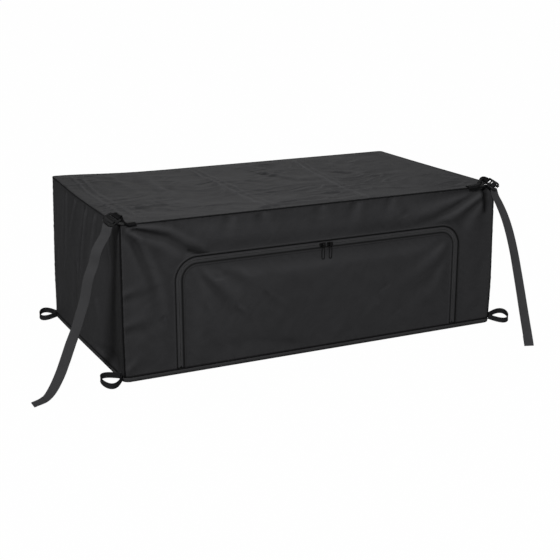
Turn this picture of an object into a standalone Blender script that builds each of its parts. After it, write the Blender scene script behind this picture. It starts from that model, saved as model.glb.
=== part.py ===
"""Truck bed cargo bag: a soft box sewn from coated cloth, with a zip door in its front,
a ladder lock and a tie strap at each front top corner, and a webbing loop at each foot.

Metres, +Z up. The origin is the middle of the base, on the floor. The door faces -Y.
"""

from math import cos, exp, hypot, pi, radians, sin

import bmesh
import bpy
from mathutils import Matrix, Vector

# Driving dimensions of the bag
BAG_LENGTH = 1.300
BAG_DEPTH = 0.730
BAG_HEIGHT = 0.485
CLOTH = 0.0020
CLEAR = 0.0003
PIPING_R = 0.0025
TOP_CORNER_R = 0.012
BASE_CORNER_R = 0.024
CORNER_BLEND = 0.170
BASE_BAND = 0.014
BASE_EDGE_R = 0.0035
TOP_SAG = 0.007
CREASES_FROM_LEFT = (0.050, 0.490, 0.872)
CREASE_HALF_WIDTH = 0.012
CREASE_HEIGHT = 0.0045
WALL_SWELL = 0.007

# Door and zip
DOOR_LEFT = -0.471
DOOR_RIGHT = 0.512
DOOR_TOP = 0.352
DOOR_CORNER_R = 0.060
ZIP_GAP = 0.030
SEAM_ALLOWANCE = 0.006
TAPE = 0.0008
CHAIN_SLOT = 0.0017
CHAIN_WIDTH = 0.0019
CHAIN_THICK = 0.0026
STOP_LENGTH = 0.005
SLIDERS_MEET_X = 0.023

# Slider and pull
SLIDER_LENGTH = 0.022
SLIDER_WIDTH = 0.0124
SLIDER_TAIL_WIDTH = 0.0108
SLIDER_PLATE = 0.0014
SLIDER_NOSE_GAP = 0.004
SLIDER_CLEAR = 0.0004
POST_WIDTH = 0.0010
POST_LENGTH = 0.0040
BRIDGE_WIRE_R = 0.0010
BRIDGE_REACH = 0.0066
PULL_EYE_R = 0.0027
PULL_WIRE_R = 0.0009
PULL_LOOP_R = 0.0046
PULL_LENGTH = 0.046

# Webbing and ladder locks
STRAP_WIDTH = 0.032
WEBBING = 0.0016
STRAP_BEND = 0.012
LOCK_BAR = 0.0044
LOCK_SLOT = 0.0072
LOCK_LADDER_BAR = 0.0056
LOCK_RIM = 0.0065
LOCK_THICK = 0.0046
LOCK_RAIL = 0.0050
LOCK_END_R = 0.0120
LOCK_ROLL = 30.0
LEFT_LOCK_BAR = (0.0055, 0.008, 0.0225)
RIGHT_LOCK_BAR = (-0.0165, 0.010, 0.0125)
LEFT_LOCK_TURN = 31.0
RIGHT_LOCK_TURN = 60.0
ANCHOR_WIDTH = 0.025
ANCHOR_GATHER = 0.25
ANCHOR_Y = 0.003
LEFT_ANCHOR_SEWN = (0.050, 0.028)
RIGHT_ANCHOR_SEWN = (0.098, 0.072)

# Tie loops at the feet
LOOP_WIDTH = 0.020
LOOP_REACH = 0.070
LOOP_SPREAD = 0.050
LOOP_ROOT = 0.008
LOOP_TURN = 20.0
LOOP_LIFT = 0.0015

HALF_LENGTH = BAG_LENGTH / 2
HALF_DEPTH = BAG_DEPTH / 2
FRONT_Y = -HALF_DEPTH
SEAM_Z = BAG_HEIGHT - PIPING_R
BASE_SEAM_Z = BASE_BAND + CLEAR + PIPING_R
WALL_LOW = BASE_SEAM_Z + PIPING_R + CLEAR
WALL_HIGH = SEAM_Z - PIPING_R - CLEAR
WALL_ROWS = 12
TAPE_DEPTH = CLOTH + CLEAR
CHAIN_DEPTH = TAPE_DEPTH + TAPE / 2

# Each side: direction along it, direction out of it, half its length, its distance from the middle
SIDES = {
    "front": (Vector((1, 0, 0)), Vector((0, -1, 0)), HALF_LENGTH, HALF_DEPTH),
    "right": (Vector((0, 1, 0)), Vector((1, 0, 0)), HALF_DEPTH, HALF_LENGTH),
    "back": (Vector((-1, 0, 0)), Vector((0, 1, 0)), HALF_LENGTH, HALF_DEPTH),
    "left": (Vector((0, -1, 0)), Vector((-1, 0, 0)), HALF_DEPTH, HALF_LENGTH),
}

# Folds pulled into the cloth: start, end, half width, height out of the panel.
# Walls measure (along, up) from the middle of their foot, and the top measures (x, y).
FOLDS = {
    "front": [
        ((-0.62, 0.474), (-0.42, 0.385), 0.014, 0.006),
        ((-0.63, 0.470), (-0.55, 0.340), 0.013, 0.006),
        ((0.62, 0.470), (0.42, 0.375), 0.014, 0.007),
        ((0.62, 0.457), (0.53, 0.330), 0.013, 0.005),
        ((-0.42, 0.33), (-0.29, 0.20), 0.020, 0.004),
        ((0.46, 0.30), (0.28, 0.18), 0.020, 0.004),
        ((-0.62, 0.06), (-0.55, 0.14), 0.014, 0.004),
    ],
    "left": [
        ((-0.19, 0.47), (-0.21, 0.25), 0.018, 0.006),
        ((-0.07, 0.47), (-0.14, 0.32), 0.015, 0.005),
        ((0.04, 0.47), (-0.03, 0.20), 0.016, 0.006),
        ((0.24, 0.47), (0.22, 0.22), 0.015, 0.006),
        ((0.32, 0.46), (0.29, 0.10), 0.014, -0.006),
    ],
    "right": [
        ((-0.33, 0.47), (-0.22, 0.22), 0.016, 0.006),
        ((-0.08, 0.47), (-0.06, 0.33), 0.016, 0.005),
        ((0.06, 0.47), (0.08, 0.30), 0.016, 0.005),
        ((0.21, 0.46), (0.18, 0.20), 0.018, 0.005),
    ],
    "back": [
        ((-0.56, 0.47), (-0.40, 0.20), 0.022, 0.005),
        ((-0.05, 0.47), (0.03, 0.15), 0.022, 0.005),
        ((0.38, 0.47), (0.43, 0.22), 0.022, 0.005),
    ],
    "top": [
        ((0.05, 0.20), (0.15, 0.02), 0.022, 0.004),
        ((-0.36, 0.02), (-0.33, 0.26), 0.022, 0.004),
        ((-0.42, -0.16), (-0.22, -0.20), 0.022, -0.004),
        ((0.40, -0.02), (0.50, 0.20), 0.022, -0.004),
    ],
}


def smooth(t):
    """0 below 0, 1 above 1, and an even rise between them."""
    t = min(1.0, max(0.0, t))
    return t * t * (3 - 2 * t)


def spaced(low, high, count):
    """count + 1 values from low to high."""
    return [low + (high - low) * i / count for i in range(count + 1)]


# Collections, materials and mesh helpers


def clear_scene():
    for item in list(bpy.data.objects):
        bpy.data.objects.remove(item)


def collection(name):
    made = bpy.data.collections.new(name)
    bpy.context.scene.collection.children.link(made)
    return made


def material(name, colour, roughness, metallic=0.0):
    made = bpy.data.materials.new(name)
    made.use_nodes = True
    shader = made.node_tree.nodes["Principled BSDF"]
    shader.inputs["Base Color"].default_value = (*colour, 1.0)
    shader.inputs["Roughness"].default_value = roughness
    shader.inputs["Metallic"].default_value = metallic
    return made


clear_scene()
BAG = collection("truck_bed_cargo_bag")
GUIDES = collection("cutters_and_fused_shapes")
CLOTH_FINISH = material("coated_cloth", (0.022, 0.022, 0.023), 0.60)
PIPING_FINISH = material("piping", (0.014, 0.014, 0.015), 0.50)
TAPE_FINISH = material("zip_tape", (0.018, 0.018, 0.019), 0.75)
CHAIN_FINISH = material("zip_coil", (0.016, 0.016, 0.017), 0.40)
SLIDER_FINISH = material("slider_metal", (0.030, 0.030, 0.032), 0.35, 0.9)
WEBBING_FINISH = material("webbing", (0.030, 0.030, 0.031), 0.70)
LOCK_FINISH = material("moulded_plastic", (0.020, 0.020, 0.021), 0.35)


def new_object(name, mesh, finish):
    made = bpy.data.objects.new(name, mesh)
    BAG.objects.link(made)
    if finish:
        mesh.materials.append(finish)
    return made


def as_guide(item):
    """A shape that cuts another or is fused into it, and isn't a piece by itself."""
    for holder in list(item.users_collection):
        holder.objects.unlink(item)
    GUIDES.objects.link(item)
    item.hide_render = True
    item.display_type = "WIRE"
    return item


def solidify(item, thickness, offset):
    wall = item.modifiers.new("wall", "SOLIDIFY")
    wall.thickness = thickness
    wall.offset = offset
    return item


def bevel(item, width, segments=2):
    edge = item.modifiers.new("edge", "BEVEL")
    edge.width = width
    edge.segments = segments
    edge.limit_method = "ANGLE"
    edge.angle_limit = radians(40)
    return item


def cut(item, cutter):
    step = item.modifiers.new("cut", "BOOLEAN")
    step.operation = "DIFFERENCE"
    step.object = as_guide(cutter)
    return item


def keep_inside(item, cutter):
    step = item.modifiers.new("trim", "BOOLEAN")
    step.operation = "INTERSECT"
    step.object = as_guide(cutter)
    return item


def fuse(item, *others):
    for other in others:
        step = item.modifiers.new("fuse", "BOOLEAN")
        step.operation = "UNION"
        step.object = as_guide(other)
    return item


def sheet(name, columns, rows, place, finish):
    """A grid whose corner (i, j) goes to place(i, j)."""
    shape = bmesh.new()
    bmesh.ops.create_grid(shape, x_segments=columns, y_segments=rows, size=0.5)
    for corner in shape.verts:
        i = round((corner.co.x + 0.5) * columns)
        j = round((corner.co.y + 0.5) * rows)
        corner.co = place(i, j)
    mesh = bpy.data.meshes.new(name)
    shape.to_mesh(mesh)
    shape.free()
    return new_object(name, mesh, finish)


def prism(name, outline, depth_from, depth_to):
    """An outline of (x, z) points, pushed through along Y."""
    shape = bmesh.new()
    ring = [shape.verts.new((x, depth_from, z)) for x, z in outline]
    face = shape.faces.new(ring)
    pushed = bmesh.ops.extrude_face_region(shape, geom=[face])
    moved = [v for v in pushed["geom"] if isinstance(v, bmesh.types.BMVert)]
    bmesh.ops.translate(shape, verts=moved, vec=(0, depth_to - depth_from, 0))
    bmesh.ops.recalc_face_normals(shape, faces=shape.faces)
    mesh = bpy.data.meshes.new(name)
    shape.to_mesh(mesh)
    shape.free()
    return new_object(name, mesh, None)


def box(name, low, high, finish=None):
    shape = bmesh.new()
    low, high = Vector(low), Vector(high)
    middle = Matrix.Translation((low + high) / 2)
    bmesh.ops.create_cube(shape, size=1.0, matrix=middle @ Matrix.Diagonal((*(high - low), 1)))
    mesh = bpy.data.meshes.new(name)
    shape.to_mesh(mesh)
    shape.free()
    return new_object(name, mesh, finish)


def rod(name, points, radius, finish, closed=False, sides=8):
    """A round wire or cord through the points, with filled ends."""
    curve = bpy.data.curves.new(name, "CURVE")
    curve.dimensions = "3D"
    line = curve.splines.new("POLY")
    line.points.add(len(points) - 1)
    for corner, point in zip(line.points, points):
        corner.co = (*point, 1.0)
    line.use_cyclic_u = closed
    curve.bevel_depth = radius
    curve.bevel_resolution = (sides - 4) // 2
    curve.use_fill_caps = not closed
    made = bpy.data.objects.new(name, curve)
    BAG.objects.link(made)
    if finish:
        curve.materials.append(finish)
    return made


def plate(name, outlines, thickness, finish):
    """Flat outlines in XY, the inner ones being holes, with half the thickness to each side."""
    curve = bpy.data.curves.new(name, "CURVE")
    curve.dimensions = "2D"
    curve.fill_mode = "BOTH"
    curve.extrude = thickness / 2
    for outline in outlines:
        line = curve.splines.new("POLY")
        line.points.add(len(outline) - 1)
        for corner, (x, y) in zip(line.points, outline):
            corner.co = (x, y, 0.0, 1.0)
        line.use_cyclic_u = True
    made = bpy.data.objects.new(name, curve)
    BAG.objects.link(made)
    return meshed(made, finish)


def meshed(item, finish=None):
    """A curve object turned into a mesh with welded caps."""
    bpy.context.view_layer.update()
    seen = item.evaluated_get(bpy.context.evaluated_depsgraph_get())
    mesh = bpy.data.meshes.new_from_object(seen)
    shape = bmesh.new()
    shape.from_mesh(mesh)
    bmesh.ops.remove_doubles(shape, verts=shape.verts, dist=1e-6)
    bmesh.ops.recalc_face_normals(shape, faces=shape.faces)
    shape.to_mesh(mesh)
    shape.free()
    name, place = item.name, item.matrix_world.copy()
    bpy.data.objects.remove(item)
    mesh.materials.clear()
    made = new_object(name, mesh, finish)
    made.matrix_world = place
    return made


def rounded_outline(x_low, x_high, y_low, y_high, radius, steps=5):
    """A rectangle with round corners, anticlockwise from its low right corner."""
    corners = [
        (x_high - radius, y_low + radius, -90),
        (x_high - radius, y_high - radius, 0),
        (x_low + radius, y_high - radius, 90),
        (x_low + radius, y_low + radius, 180),
    ]
    points = []
    for x, y, start in corners:
        for turn in spaced(start, start + 90, steps):
            points.append((x + radius * cos(radians(turn)), y + radius * sin(radians(turn))))
    return points


# The bag's skin as a formula


def corner_radius(z):
    """The plan's corner radius, which opens towards the base."""
    return BASE_CORNER_R + (TOP_CORNER_R - BASE_CORNER_R) * smooth(z / CORNER_BLEND)


def fold_height(folds, a, b):
    """How far the folds lift the cloth at (a, b)."""
    lift = 0.0
    for (a0, b0), (a1, b1), width, height in folds:
        run_a, run_b = a1 - a0, b1 - b0
        t = ((a - a0) * run_a + (b - b0) * run_b) / (run_a**2 + run_b**2)
        t = min(1.0, max(0.0, t))
        away = hypot(a - a0 - t * run_a, b - b0 - t * run_b)
        lift += height * exp(-((away / width) ** 2))
    return lift


def zip_distance(x, z):
    """How far a point of the front is from the line of the zip."""
    middle_x = (DOOR_LEFT + DOOR_RIGHT) / 2
    out_x = abs(x - middle_x) - (DOOR_RIGHT - DOOR_LEFT) / 2
    out_z = z - DOOR_TOP
    past_x, past_z = out_x + DOOR_CORNER_R, out_z + DOOR_CORNER_R
    if past_x > 0 and past_z > 0:
        return abs(hypot(past_x, past_z) - DOOR_CORNER_R)
    return abs(max(out_x, out_z))


def swell(side, along, z):
    """How far a wall stands out of its flat, with nothing at its seams or along the zip."""
    half = SIDES[side][2]
    height = (z - WALL_LOW) / (WALL_HIGH - WALL_LOW)
    inner = smooth((half - abs(along)) / 0.05) * smooth(height / 0.12) * smooth((1 - height) / 0.12)
    out = WALL_SWELL * sin(pi * min(1, max(0, height))) * (1 - (along / half) ** 2)
    out += fold_height(FOLDS[side], along, z)
    if side == "front":
        flat = PULL_LENGTH if z < DOOR_TOP else SLIDER_WIDTH
        inner *= smooth((zip_distance(along, z) - flat) / 0.060)
    return out * inner


def wall_point(side, column, z, depth=0.0):
    """A point of a wall. column is the share of the flat stretch, and past 1 the share of the
    half corner after it. depth is how far inside the skin the point lies."""
    run, out, half, distance = SIDES[side]
    radius = corner_radius(z)
    turn = radians(45) * max(0.0, abs(column) - 1)
    along = min(1.0, abs(column)) * (half - radius) + (radius - depth) * sin(turn)
    along = along if column >= 0 else -along
    away = distance - radius + (radius - depth) * cos(turn)
    if turn == 0:
        away += swell(side, along, z)
    return run * along + out * away + Vector((0, 0, z))


def corner_column(z):
    """The column at which a wall stops beside its corner piping."""
    return 2 - (PIPING_R + CLEAR) / (corner_radius(z) * radians(45))


def corner_line(side):
    """The seam down the right-hand corner of a side, at the middle of the cloth."""
    return [wall_point(side, 2, z, CLOTH / 2) for z in spaced(WALL_LOW, WALL_HIGH, WALL_ROWS)]


def plan_outline(radius, inset, steps=6):
    """The bag's plan, drawn in by inset."""
    return rounded_outline(
        -HALF_LENGTH + inset,
        HALF_LENGTH - inset,
        -HALF_DEPTH + inset,
        HALF_DEPTH - inset,
        radius - inset,
        steps,
    )


# Cloth panels


def wall_panel(side, name, across):
    """One side of the bag, from corner seam to corner seam."""
    flat = spaced(-1, 1, across)
    heights = spaced(WALL_LOW, WALL_HIGH, WALL_ROWS)

    def place(i, j):
        z = heights[j]
        last = corner_column(z)
        around = [1 + (last - 1) * k / 3 for k in (1, 2, 3)]
        columns = [-c for c in reversed(around)] + flat + around
        return wall_point(side, columns[i], z)

    made = sheet(name, across + 6, WALL_ROWS, place, CLOTH_FINISH)
    return solidify(made, CLOTH, -1)


def top_panel():
    """The lid, which sags between its seams and keeps the creases of its last folding."""
    inset = CLOTH / 2 + PIPING_R + CLEAR
    half_x, half_y = HALF_LENGTH - inset, HALF_DEPTH - inset
    radius = TOP_CORNER_R - inset
    creases = [-HALF_LENGTH + past for past in CREASES_FROM_LEFT]
    across = spaced(radius - half_x, half_x - radius, 19)
    for crease in creases:
        across = [x for x in across if abs(x - crease) > 1.5 * CREASE_HALF_WIDTH]
        across += [crease - CREASE_HALF_WIDTH, crease, crease + CREASE_HALF_WIDTH]
    xs = [-half_x, *sorted(across), half_x]
    ys = [-half_y, *spaced(radius - half_y, half_y - radius, 12), half_y]
    flat_z = SEAM_Z + CLOTH / 2

    def place(i, j):
        x, y = xs[i], ys[j]
        if abs(x) == half_x and abs(y) == half_y:
            cut_in = radius * (1 - cos(radians(45)))
            x *= 1 - cut_in / half_x
            y *= 1 - cut_in / half_y
        inner = smooth((half_x - abs(x)) / 0.05) * smooth((half_y - abs(y)) / 0.05)
        sag = -TOP_SAG * (1 - (x / half_x) ** 2) * (1 - (y / half_y) ** 2)
        ridge = sum(max(0.0, 1 - abs(x - crease) / CREASE_HALF_WIDTH) for crease in creases)
        lift = sag + CREASE_HEIGHT * ridge + fold_height(FOLDS["top"], x, y)
        return Vector((x, y, flat_z + inner * lift))

    made = sheet("top_panel", len(xs) - 1, len(ys) - 1, place, CLOTH_FINISH)
    return solidify(made, CLOTH, -1)


def base_tray(name, low, high, with_floor):
    """The bag's plan raised from low to high, with the floor under it or open below."""
    shape = bmesh.new()
    ring = [shape.verts.new((x, y, low)) for x, y in plan_outline(BASE_CORNER_R, 0.0)]
    floor = shape.faces.new(ring)
    rise = bmesh.ops.extrude_edge_only(shape, edges=floor.edges[:])
    lifted = [v for v in rise["geom"] if isinstance(v, bmesh.types.BMVert)]
    bmesh.ops.translate(shape, verts=lifted, vec=(0, 0, high - low))
    bmesh.ops.recalc_face_normals(shape, faces=shape.faces)
    floor.normal_update()
    if floor.normal.z > 0:
        bmesh.ops.reverse_faces(shape, faces=shape.faces)
    if not with_floor:
        bmesh.ops.delete(shape, geom=[floor], context="FACES_ONLY")
    mesh = bpy.data.meshes.new(name)
    shape.to_mesh(mesh)
    shape.free()
    return new_object(name, mesh, CLOTH_FINISH)


def base_panel():
    """The floor of the bag, with its edge rolled up to where the band is sewn on."""
    return solidify(bevel(base_tray("base_panel", 0.0, BASE_EDGE_R + CLEAR, True), BASE_EDGE_R, 3), CLOTH, -1)


def base_band():
    """The strip that stands round the floor and ends in the lowest seam."""
    return solidify(base_tray("base_band", BASE_EDGE_R + 2 * CLEAR, BASE_BAND, False), CLOTH, -1)


# Zip door


def zip_line(offset, low):
    """The zip's way round the door as (x, z) points, offset outwards, up from the left foot."""
    radius = DOOR_CORNER_R + offset
    left, right = DOOR_LEFT - offset, DOOR_RIGHT + offset
    turn_z = DOOR_TOP - DOOR_CORNER_R
    points = [(left, z) for z in spaced(low, turn_z, 6)[:-1]]
    for turn in spaced(180, 90, 8):
        centre_x = DOOR_LEFT + DOOR_CORNER_R
        points.append((centre_x + radius * cos(radians(turn)), turn_z + radius * sin(radians(turn))))
    points += [(x, DOOR_TOP + offset) for x in spaced(left + radius, right - radius, 10)[1:-1]]
    for turn in spaced(90, 0, 8):
        centre_x = DOOR_RIGHT - DOOR_CORNER_R
        points.append((centre_x + radius * cos(radians(turn)), turn_z + radius * sin(radians(turn))))
    points += [(right, z) for z in spaced(turn_z, low, 6)[1:]]
    return points


def door_prism(name, offset, low):
    outline = zip_line(offset, low)
    return prism(name, outline, FRONT_Y - 0.03, FRONT_Y + 0.03)


def front_and_door():
    front = wall_panel("front", "front_panel", 32)
    cut(front, door_prism("door_cutter", ZIP_GAP / 2, WALL_LOW - 0.01))
    door = wall_panel("front", "door_panel", 32)
    keep_inside(door, door_prism("door_outline", -ZIP_GAP / 2, WALL_LOW - 0.01))
    return front, door


def zip_ribbon(name, inner, outer, depth, thickness, low, finish):
    """A band that follows the zip between two offsets from its line."""
    lines = [zip_line(inner, low), zip_line(outer, low)]

    def place(i, j):
        x, z = lines[j][i]
        return Vector((x, FRONT_Y + depth, z))

    made = sheet(name, len(lines[0]) - 1, 1, place, finish)
    return solidify(made, thickness, 0)


def zip_tapes_and_chain():
    edge = ZIP_GAP / 2 + SEAM_ALLOWANCE
    chain_in = CHAIN_SLOT / 2
    chain_out = chain_in + CHAIN_WIDTH
    tape_in = chain_out + CLEAR
    chain_low = WALL_LOW + STOP_LENGTH + CLEAR
    for name, sign in (("outer", 1), ("inner", -1)):
        spans = sorted((sign * tape_in, sign * edge))
        zip_ribbon("zip_tape_" + name, *spans, CHAIN_DEPTH, TAPE, WALL_LOW, TAPE_FINISH)
        spans = sorted((sign * chain_in, sign * chain_out))
        zip_ribbon("zip_chain_" + name, *spans, CHAIN_DEPTH, CHAIN_THICK, chain_low, CHAIN_FINISH)


def zip_stop(name, x):
    """The crimped block that ends both rows at the foot of the zip."""
    half = CHAIN_SLOT / 2 + CHAIN_WIDTH
    y = FRONT_Y + CHAIN_DEPTH
    low = (x - half, y - CHAIN_THICK / 2, WALL_LOW)
    high = (x + half, y + CHAIN_THICK / 2, WALL_LOW + STOP_LENGTH)
    return bevel(box(name, low, high, SLIDER_FINISH), 0.0005)


# Slider and pull, drawn with the nose towards +X and the cloth on the +Y side


def slider_outline():
    """A shield: full width at the nose, narrower at the tail, all corners round."""
    nose, tail = SLIDER_WIDTH / 2, SLIDER_TAIL_WIDTH / 2
    half = SLIDER_LENGTH / 2
    radius = 0.0028
    points = []
    for x, y, start in (
        (half - radius, -nose + radius, -90),
        (half - radius, nose - radius, 0),
        (-half + radius, tail - radius, 90),
        (-half + radius, -tail + radius, 180),
    ):
        for turn in spaced(start, start + 90, 4):
            points.append((x + radius * cos(radians(turn)), y + radius * sin(radians(turn))))
    return points


def upright(item, y):
    """Stands a flat XY shape up in the XZ plane, at a depth of y."""
    item.matrix_world = Matrix.Translation((0, y, 0)) @ Matrix.Rotation(radians(90), 4, "X")
    return item


def slider_planes():
    """Depths of the inner faces of the slider's two plates."""
    reach = CHAIN_THICK / 2 + SLIDER_CLEAR
    return CHAIN_DEPTH - reach, CHAIN_DEPTH + reach


def bridge_depth():
    """Depth of the bridge's bar, far enough out for the pull's eye to turn round it."""
    return slider_planes()[0] - SLIDER_PLATE - PULL_EYE_R - PULL_WIRE_R - 0.0004


def slider(name, origin_x, direction):
    """Two plates, their side lips, the post at the nose and the bridge that holds the pull."""
    front_in, back_in = slider_planes()
    front = upright(
        plate(name, [slider_outline()], SLIDER_PLATE, SLIDER_FINISH), front_in - SLIDER_PLATE / 2
    )
    back = upright(
        plate(name + "_back", [slider_outline()], SLIDER_PLATE, None), back_in + SLIDER_PLATE / 2
    )
    lip_in = CHAIN_SLOT / 2 + CHAIN_WIDTH + SLIDER_CLEAR
    lip_out = SLIDER_TAIL_WIDTH / 2
    lip_end = SLIDER_LENGTH / 2 - 0.003
    tape_front = TAPE_DEPTH - SLIDER_CLEAR
    tape_back = TAPE_DEPTH + TAPE + SLIDER_CLEAR
    sunk = SLIDER_PLATE / 2
    lips = []
    for up in (-1, 1):
        z_low, z_high = sorted((up * lip_in, up * lip_out))
        for side, y_low, y_high in (
            ("front", front_in - sunk, tape_front),
            ("back", tape_back, back_in + sunk),
        ):
            label = f"{name}_{side}_lip_{up}"
            lips.append(box(label, (-lip_end, y_low, z_low), (lip_end, y_high, z_high)))
    nose = SLIDER_LENGTH / 2 - 0.0012
    post = box(
        name + "_post",
        (nose - POST_LENGTH, front_in - sunk, -POST_WIDTH / 2),
        (nose, back_in + sunk, POST_WIDTH / 2),
    )
    top = bridge_depth()
    foot = front_in - SLIDER_PLATE + 0.0004
    arch = [
        (-BRIDGE_REACH, foot, 0),
        (-BRIDGE_REACH + 0.0004, top + 0.0022, 0),
        (-BRIDGE_REACH + 0.0022, top, 0),
        (BRIDGE_REACH - 0.0022, top, 0),
        (BRIDGE_REACH - 0.0004, top + 0.0022, 0),
        (BRIDGE_REACH, foot, 0),
    ]
    bridge = meshed(rod(name + "_bridge", arch, BRIDGE_WIRE_R, None))
    fuse(front, back, *lips, post, bridge)
    return gather(front, Matrix.Translation((origin_x, FRONT_Y, DOOR_TOP)), direction)


def gather(item, place, direction=1):
    """Carries a finished shape and the shapes fused into it to their place. A direction of -1
    turns it half round the vertical line through the place, seen along Y."""
    turned = place @ (Matrix.Identity(4) if direction > 0 else Matrix.Rotation(pi, 4, "Y"))
    holder = bpy.data.objects.new(item.name + "_place", None)
    BAG.objects.link(holder)
    holder.matrix_world = turned
    parts = [m.object for m in item.modifiers if m.type == "BOOLEAN"]
    for part in [item, *parts]:
        part.parent = holder
    return item


def pull(name, origin_x):
    """An eye that turns on the bridge's bar, and a long loop to hold, hanging from it."""
    ring = [
        (0, PULL_EYE_R * cos(t), PULL_EYE_R * sin(t)) for t in spaced(0, 2 * pi, 16)[:-1]
    ]
    eye = meshed(rod(name, ring, PULL_WIRE_R, SLIDER_FINISH, closed=True, sides=6), SLIDER_FINISH)
    top = -PULL_EYE_R - 0.0030 - PULL_LOOP_R
    low = -PULL_LENGTH + PULL_LOOP_R
    loop = [
        (PULL_LOOP_R * cos(t), 0, top + PULL_LOOP_R * sin(t)) for t in spaced(0, pi, 8)
    ] + [(PULL_LOOP_R * cos(t), 0, low + PULL_LOOP_R * sin(t)) for t in spaced(pi, 2 * pi, 8)]
    hand = meshed(rod(name + "_loop", loop, 0.0011, None, closed=True))
    neck_points = [(0, 0, -PULL_EYE_R), (0, 0, top + PULL_LOOP_R)]
    neck = meshed(rod(name + "_neck", neck_points, 0.0011, None))
    fuse(eye, neck, hand)
    return gather(eye, Matrix.Translation((origin_x, FRONT_Y + bridge_depth(), DOOR_TOP)))


# Webbing


def ribbon(name, points, widths, width, thickness, finish, across=1):
    """A band of webbing through the points. widths gives the direction across it at each."""

    def place(i, j):
        return points[i] + widths[i].normalized() * width * (j / across - 0.5)

    made = sheet(name, len(points) - 1, across, place, finish)
    return solidify(made, thickness, 0)


def curve_through(points, close_length, close_count, count):
    """Points along a smooth curve through the given ones: close_count steps over its first
    close_length, and count steps over the rest."""
    ends = [2 * points[0] - points[1], *points, 2 * points[-1] - points[-2]]
    fine = []
    for k in range(1, len(ends) - 2):
        p0, p1, p2, p3 = ends[k - 1 : k + 3]
        for t in spaced(0, 1, 24)[:-1]:
            fine.append(
                0.5
                * (
                    2 * p1
                    + (p2 - p0) * t
                    + (2 * p0 - 5 * p1 + 4 * p2 - p3) * t**2
                    + (3 * p1 - p0 - 3 * p2 + p3) * t**3
                )
            )
    fine.append(points[-1].copy())
    lengths = [0.0]
    for a, b in zip(fine, fine[1:]):
        lengths.append(lengths[-1] + (b - a).length)
    wanted = spaced(0, close_length, close_count) + spaced(close_length, lengths[-1], count)[1:]
    even, at = [], 0
    for want in wanted:
        while at < len(fine) - 2 and lengths[at + 1] < want:
            at += 1
        share = (want - lengths[at]) / (lengths[at + 1] - lengths[at])
        even.append(fine[at].lerp(fine[at + 1], min(1.0, max(0.0, share))))
    return even


def tie_loop(name, sign_x, sign_y):
    """A drop-shaped loop of webbing on edge, with both ends at the seam round a foot corner."""
    out = Vector((sign_x * cos(radians(LOOP_TURN)), sign_y * sin(radians(LOOP_TURN)), 0))
    across = Vector((-out.y, out.x, 0))
    centre = Vector((sign_x * (HALF_LENGTH - BASE_CORNER_R), sign_y * (HALF_DEPTH - BASE_CORNER_R), 0))
    root = BASE_CORNER_R - CLOTH / 2 + PIPING_R + 2 * CLEAR
    middle = centre + Vector((0, 0, LOOP_LIFT + LOOP_WIDTH / 2))
    points = []
    for t in spaced(0, 1, 20):
        reach = root + LOOP_REACH * sin(pi * t)
        aside = -LOOP_SPREAD / 2 * sin(2 * pi * t) + LOOP_ROOT * (t - 0.5)
        points.append(middle + out * reach + across * aside)
    upwards = [Vector((0, 0, 1))] * len(points)
    return ribbon(name, points, upwards, LOOP_WIDTH, WEBBING, WEBBING_FINISH)


# Ladder locks: drawn flat in XY with the hinge bar at the origin and the rim towards +X


def lock_stations():
    """Places along the lock: slot, cross bar, slot, ladder bar, slot and rim."""
    bar = LOCK_BAR / 2
    cross = bar + LOCK_SLOT
    ladder_slot = cross + LOCK_BAR
    ladder = ladder_slot + LOCK_SLOT
    rim_slot = ladder + LOCK_LADDER_BAR
    rim = rim_slot + LOCK_SLOT
    return bar, cross, ladder_slot, ladder, rim_slot, rim


def lock_place(bar, turn, sign_x):
    """Where a lock's hinge bar lies: past the bag's end, behind the front and above the top. Its
    flat is tipped forward over the edge, and in that flat it points out and down the front."""
    roll, turn = radians(LOCK_ROLL), radians(turn)
    down = Vector((0, -cos(roll), -sin(roll)))
    normal = Vector((0, -sin(roll), cos(roll)))
    ahead = Vector((sign_x * cos(turn), 0, 0)) + down * sin(turn)
    axes = Matrix((ahead, normal.cross(ahead), normal)).transposed().to_4x4()
    past, back, above = bar
    at = Vector((sign_x * (HALF_LENGTH + past), FRONT_Y + back, BAG_HEIGHT + above))
    return Matrix.Translation(at) @ axes


def ladder_lock(name, place):
    """A moulded frame with three slots: the anchor's, and two round the ladder bar."""
    bar, cross, ladder_slot, ladder, rim_slot, rim = lock_stations()
    half = STRAP_WIDTH / 2 + 0.0008
    outer = half + LOCK_RAIL
    end = rim + LOCK_RIM
    outline = rounded_outline(-bar, end, -outer, outer, 0.0035)
    tip = rounded_outline(-bar, end, -outer, outer, LOCK_END_R)
    middle_x = (end - bar) / 2
    outline = [t if t[0] > middle_x else o for o, t in zip(outline, tip)]
    slots = [
        rounded_outline(low, high, -half, half, 0.0012, 2)
        for low, high in ((bar, cross), (ladder_slot, ladder), (rim_slot, rim))
    ]
    made = plate(name, [outline, *slots], LOCK_THICK, LOCK_FINISH)
    bevel(made, 0.0011, 1)
    lift = box(
        name + "_lip",
        (rim + 0.0015, -half * 0.55, LOCK_THICK / 2 - 0.0006),
        (end + 0.0035, half * 0.55, LOCK_THICK / 2 + 0.0012),
    )
    fuse(made, bevel(lift, 0.0007, 1))
    return gather(made, place)


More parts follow.
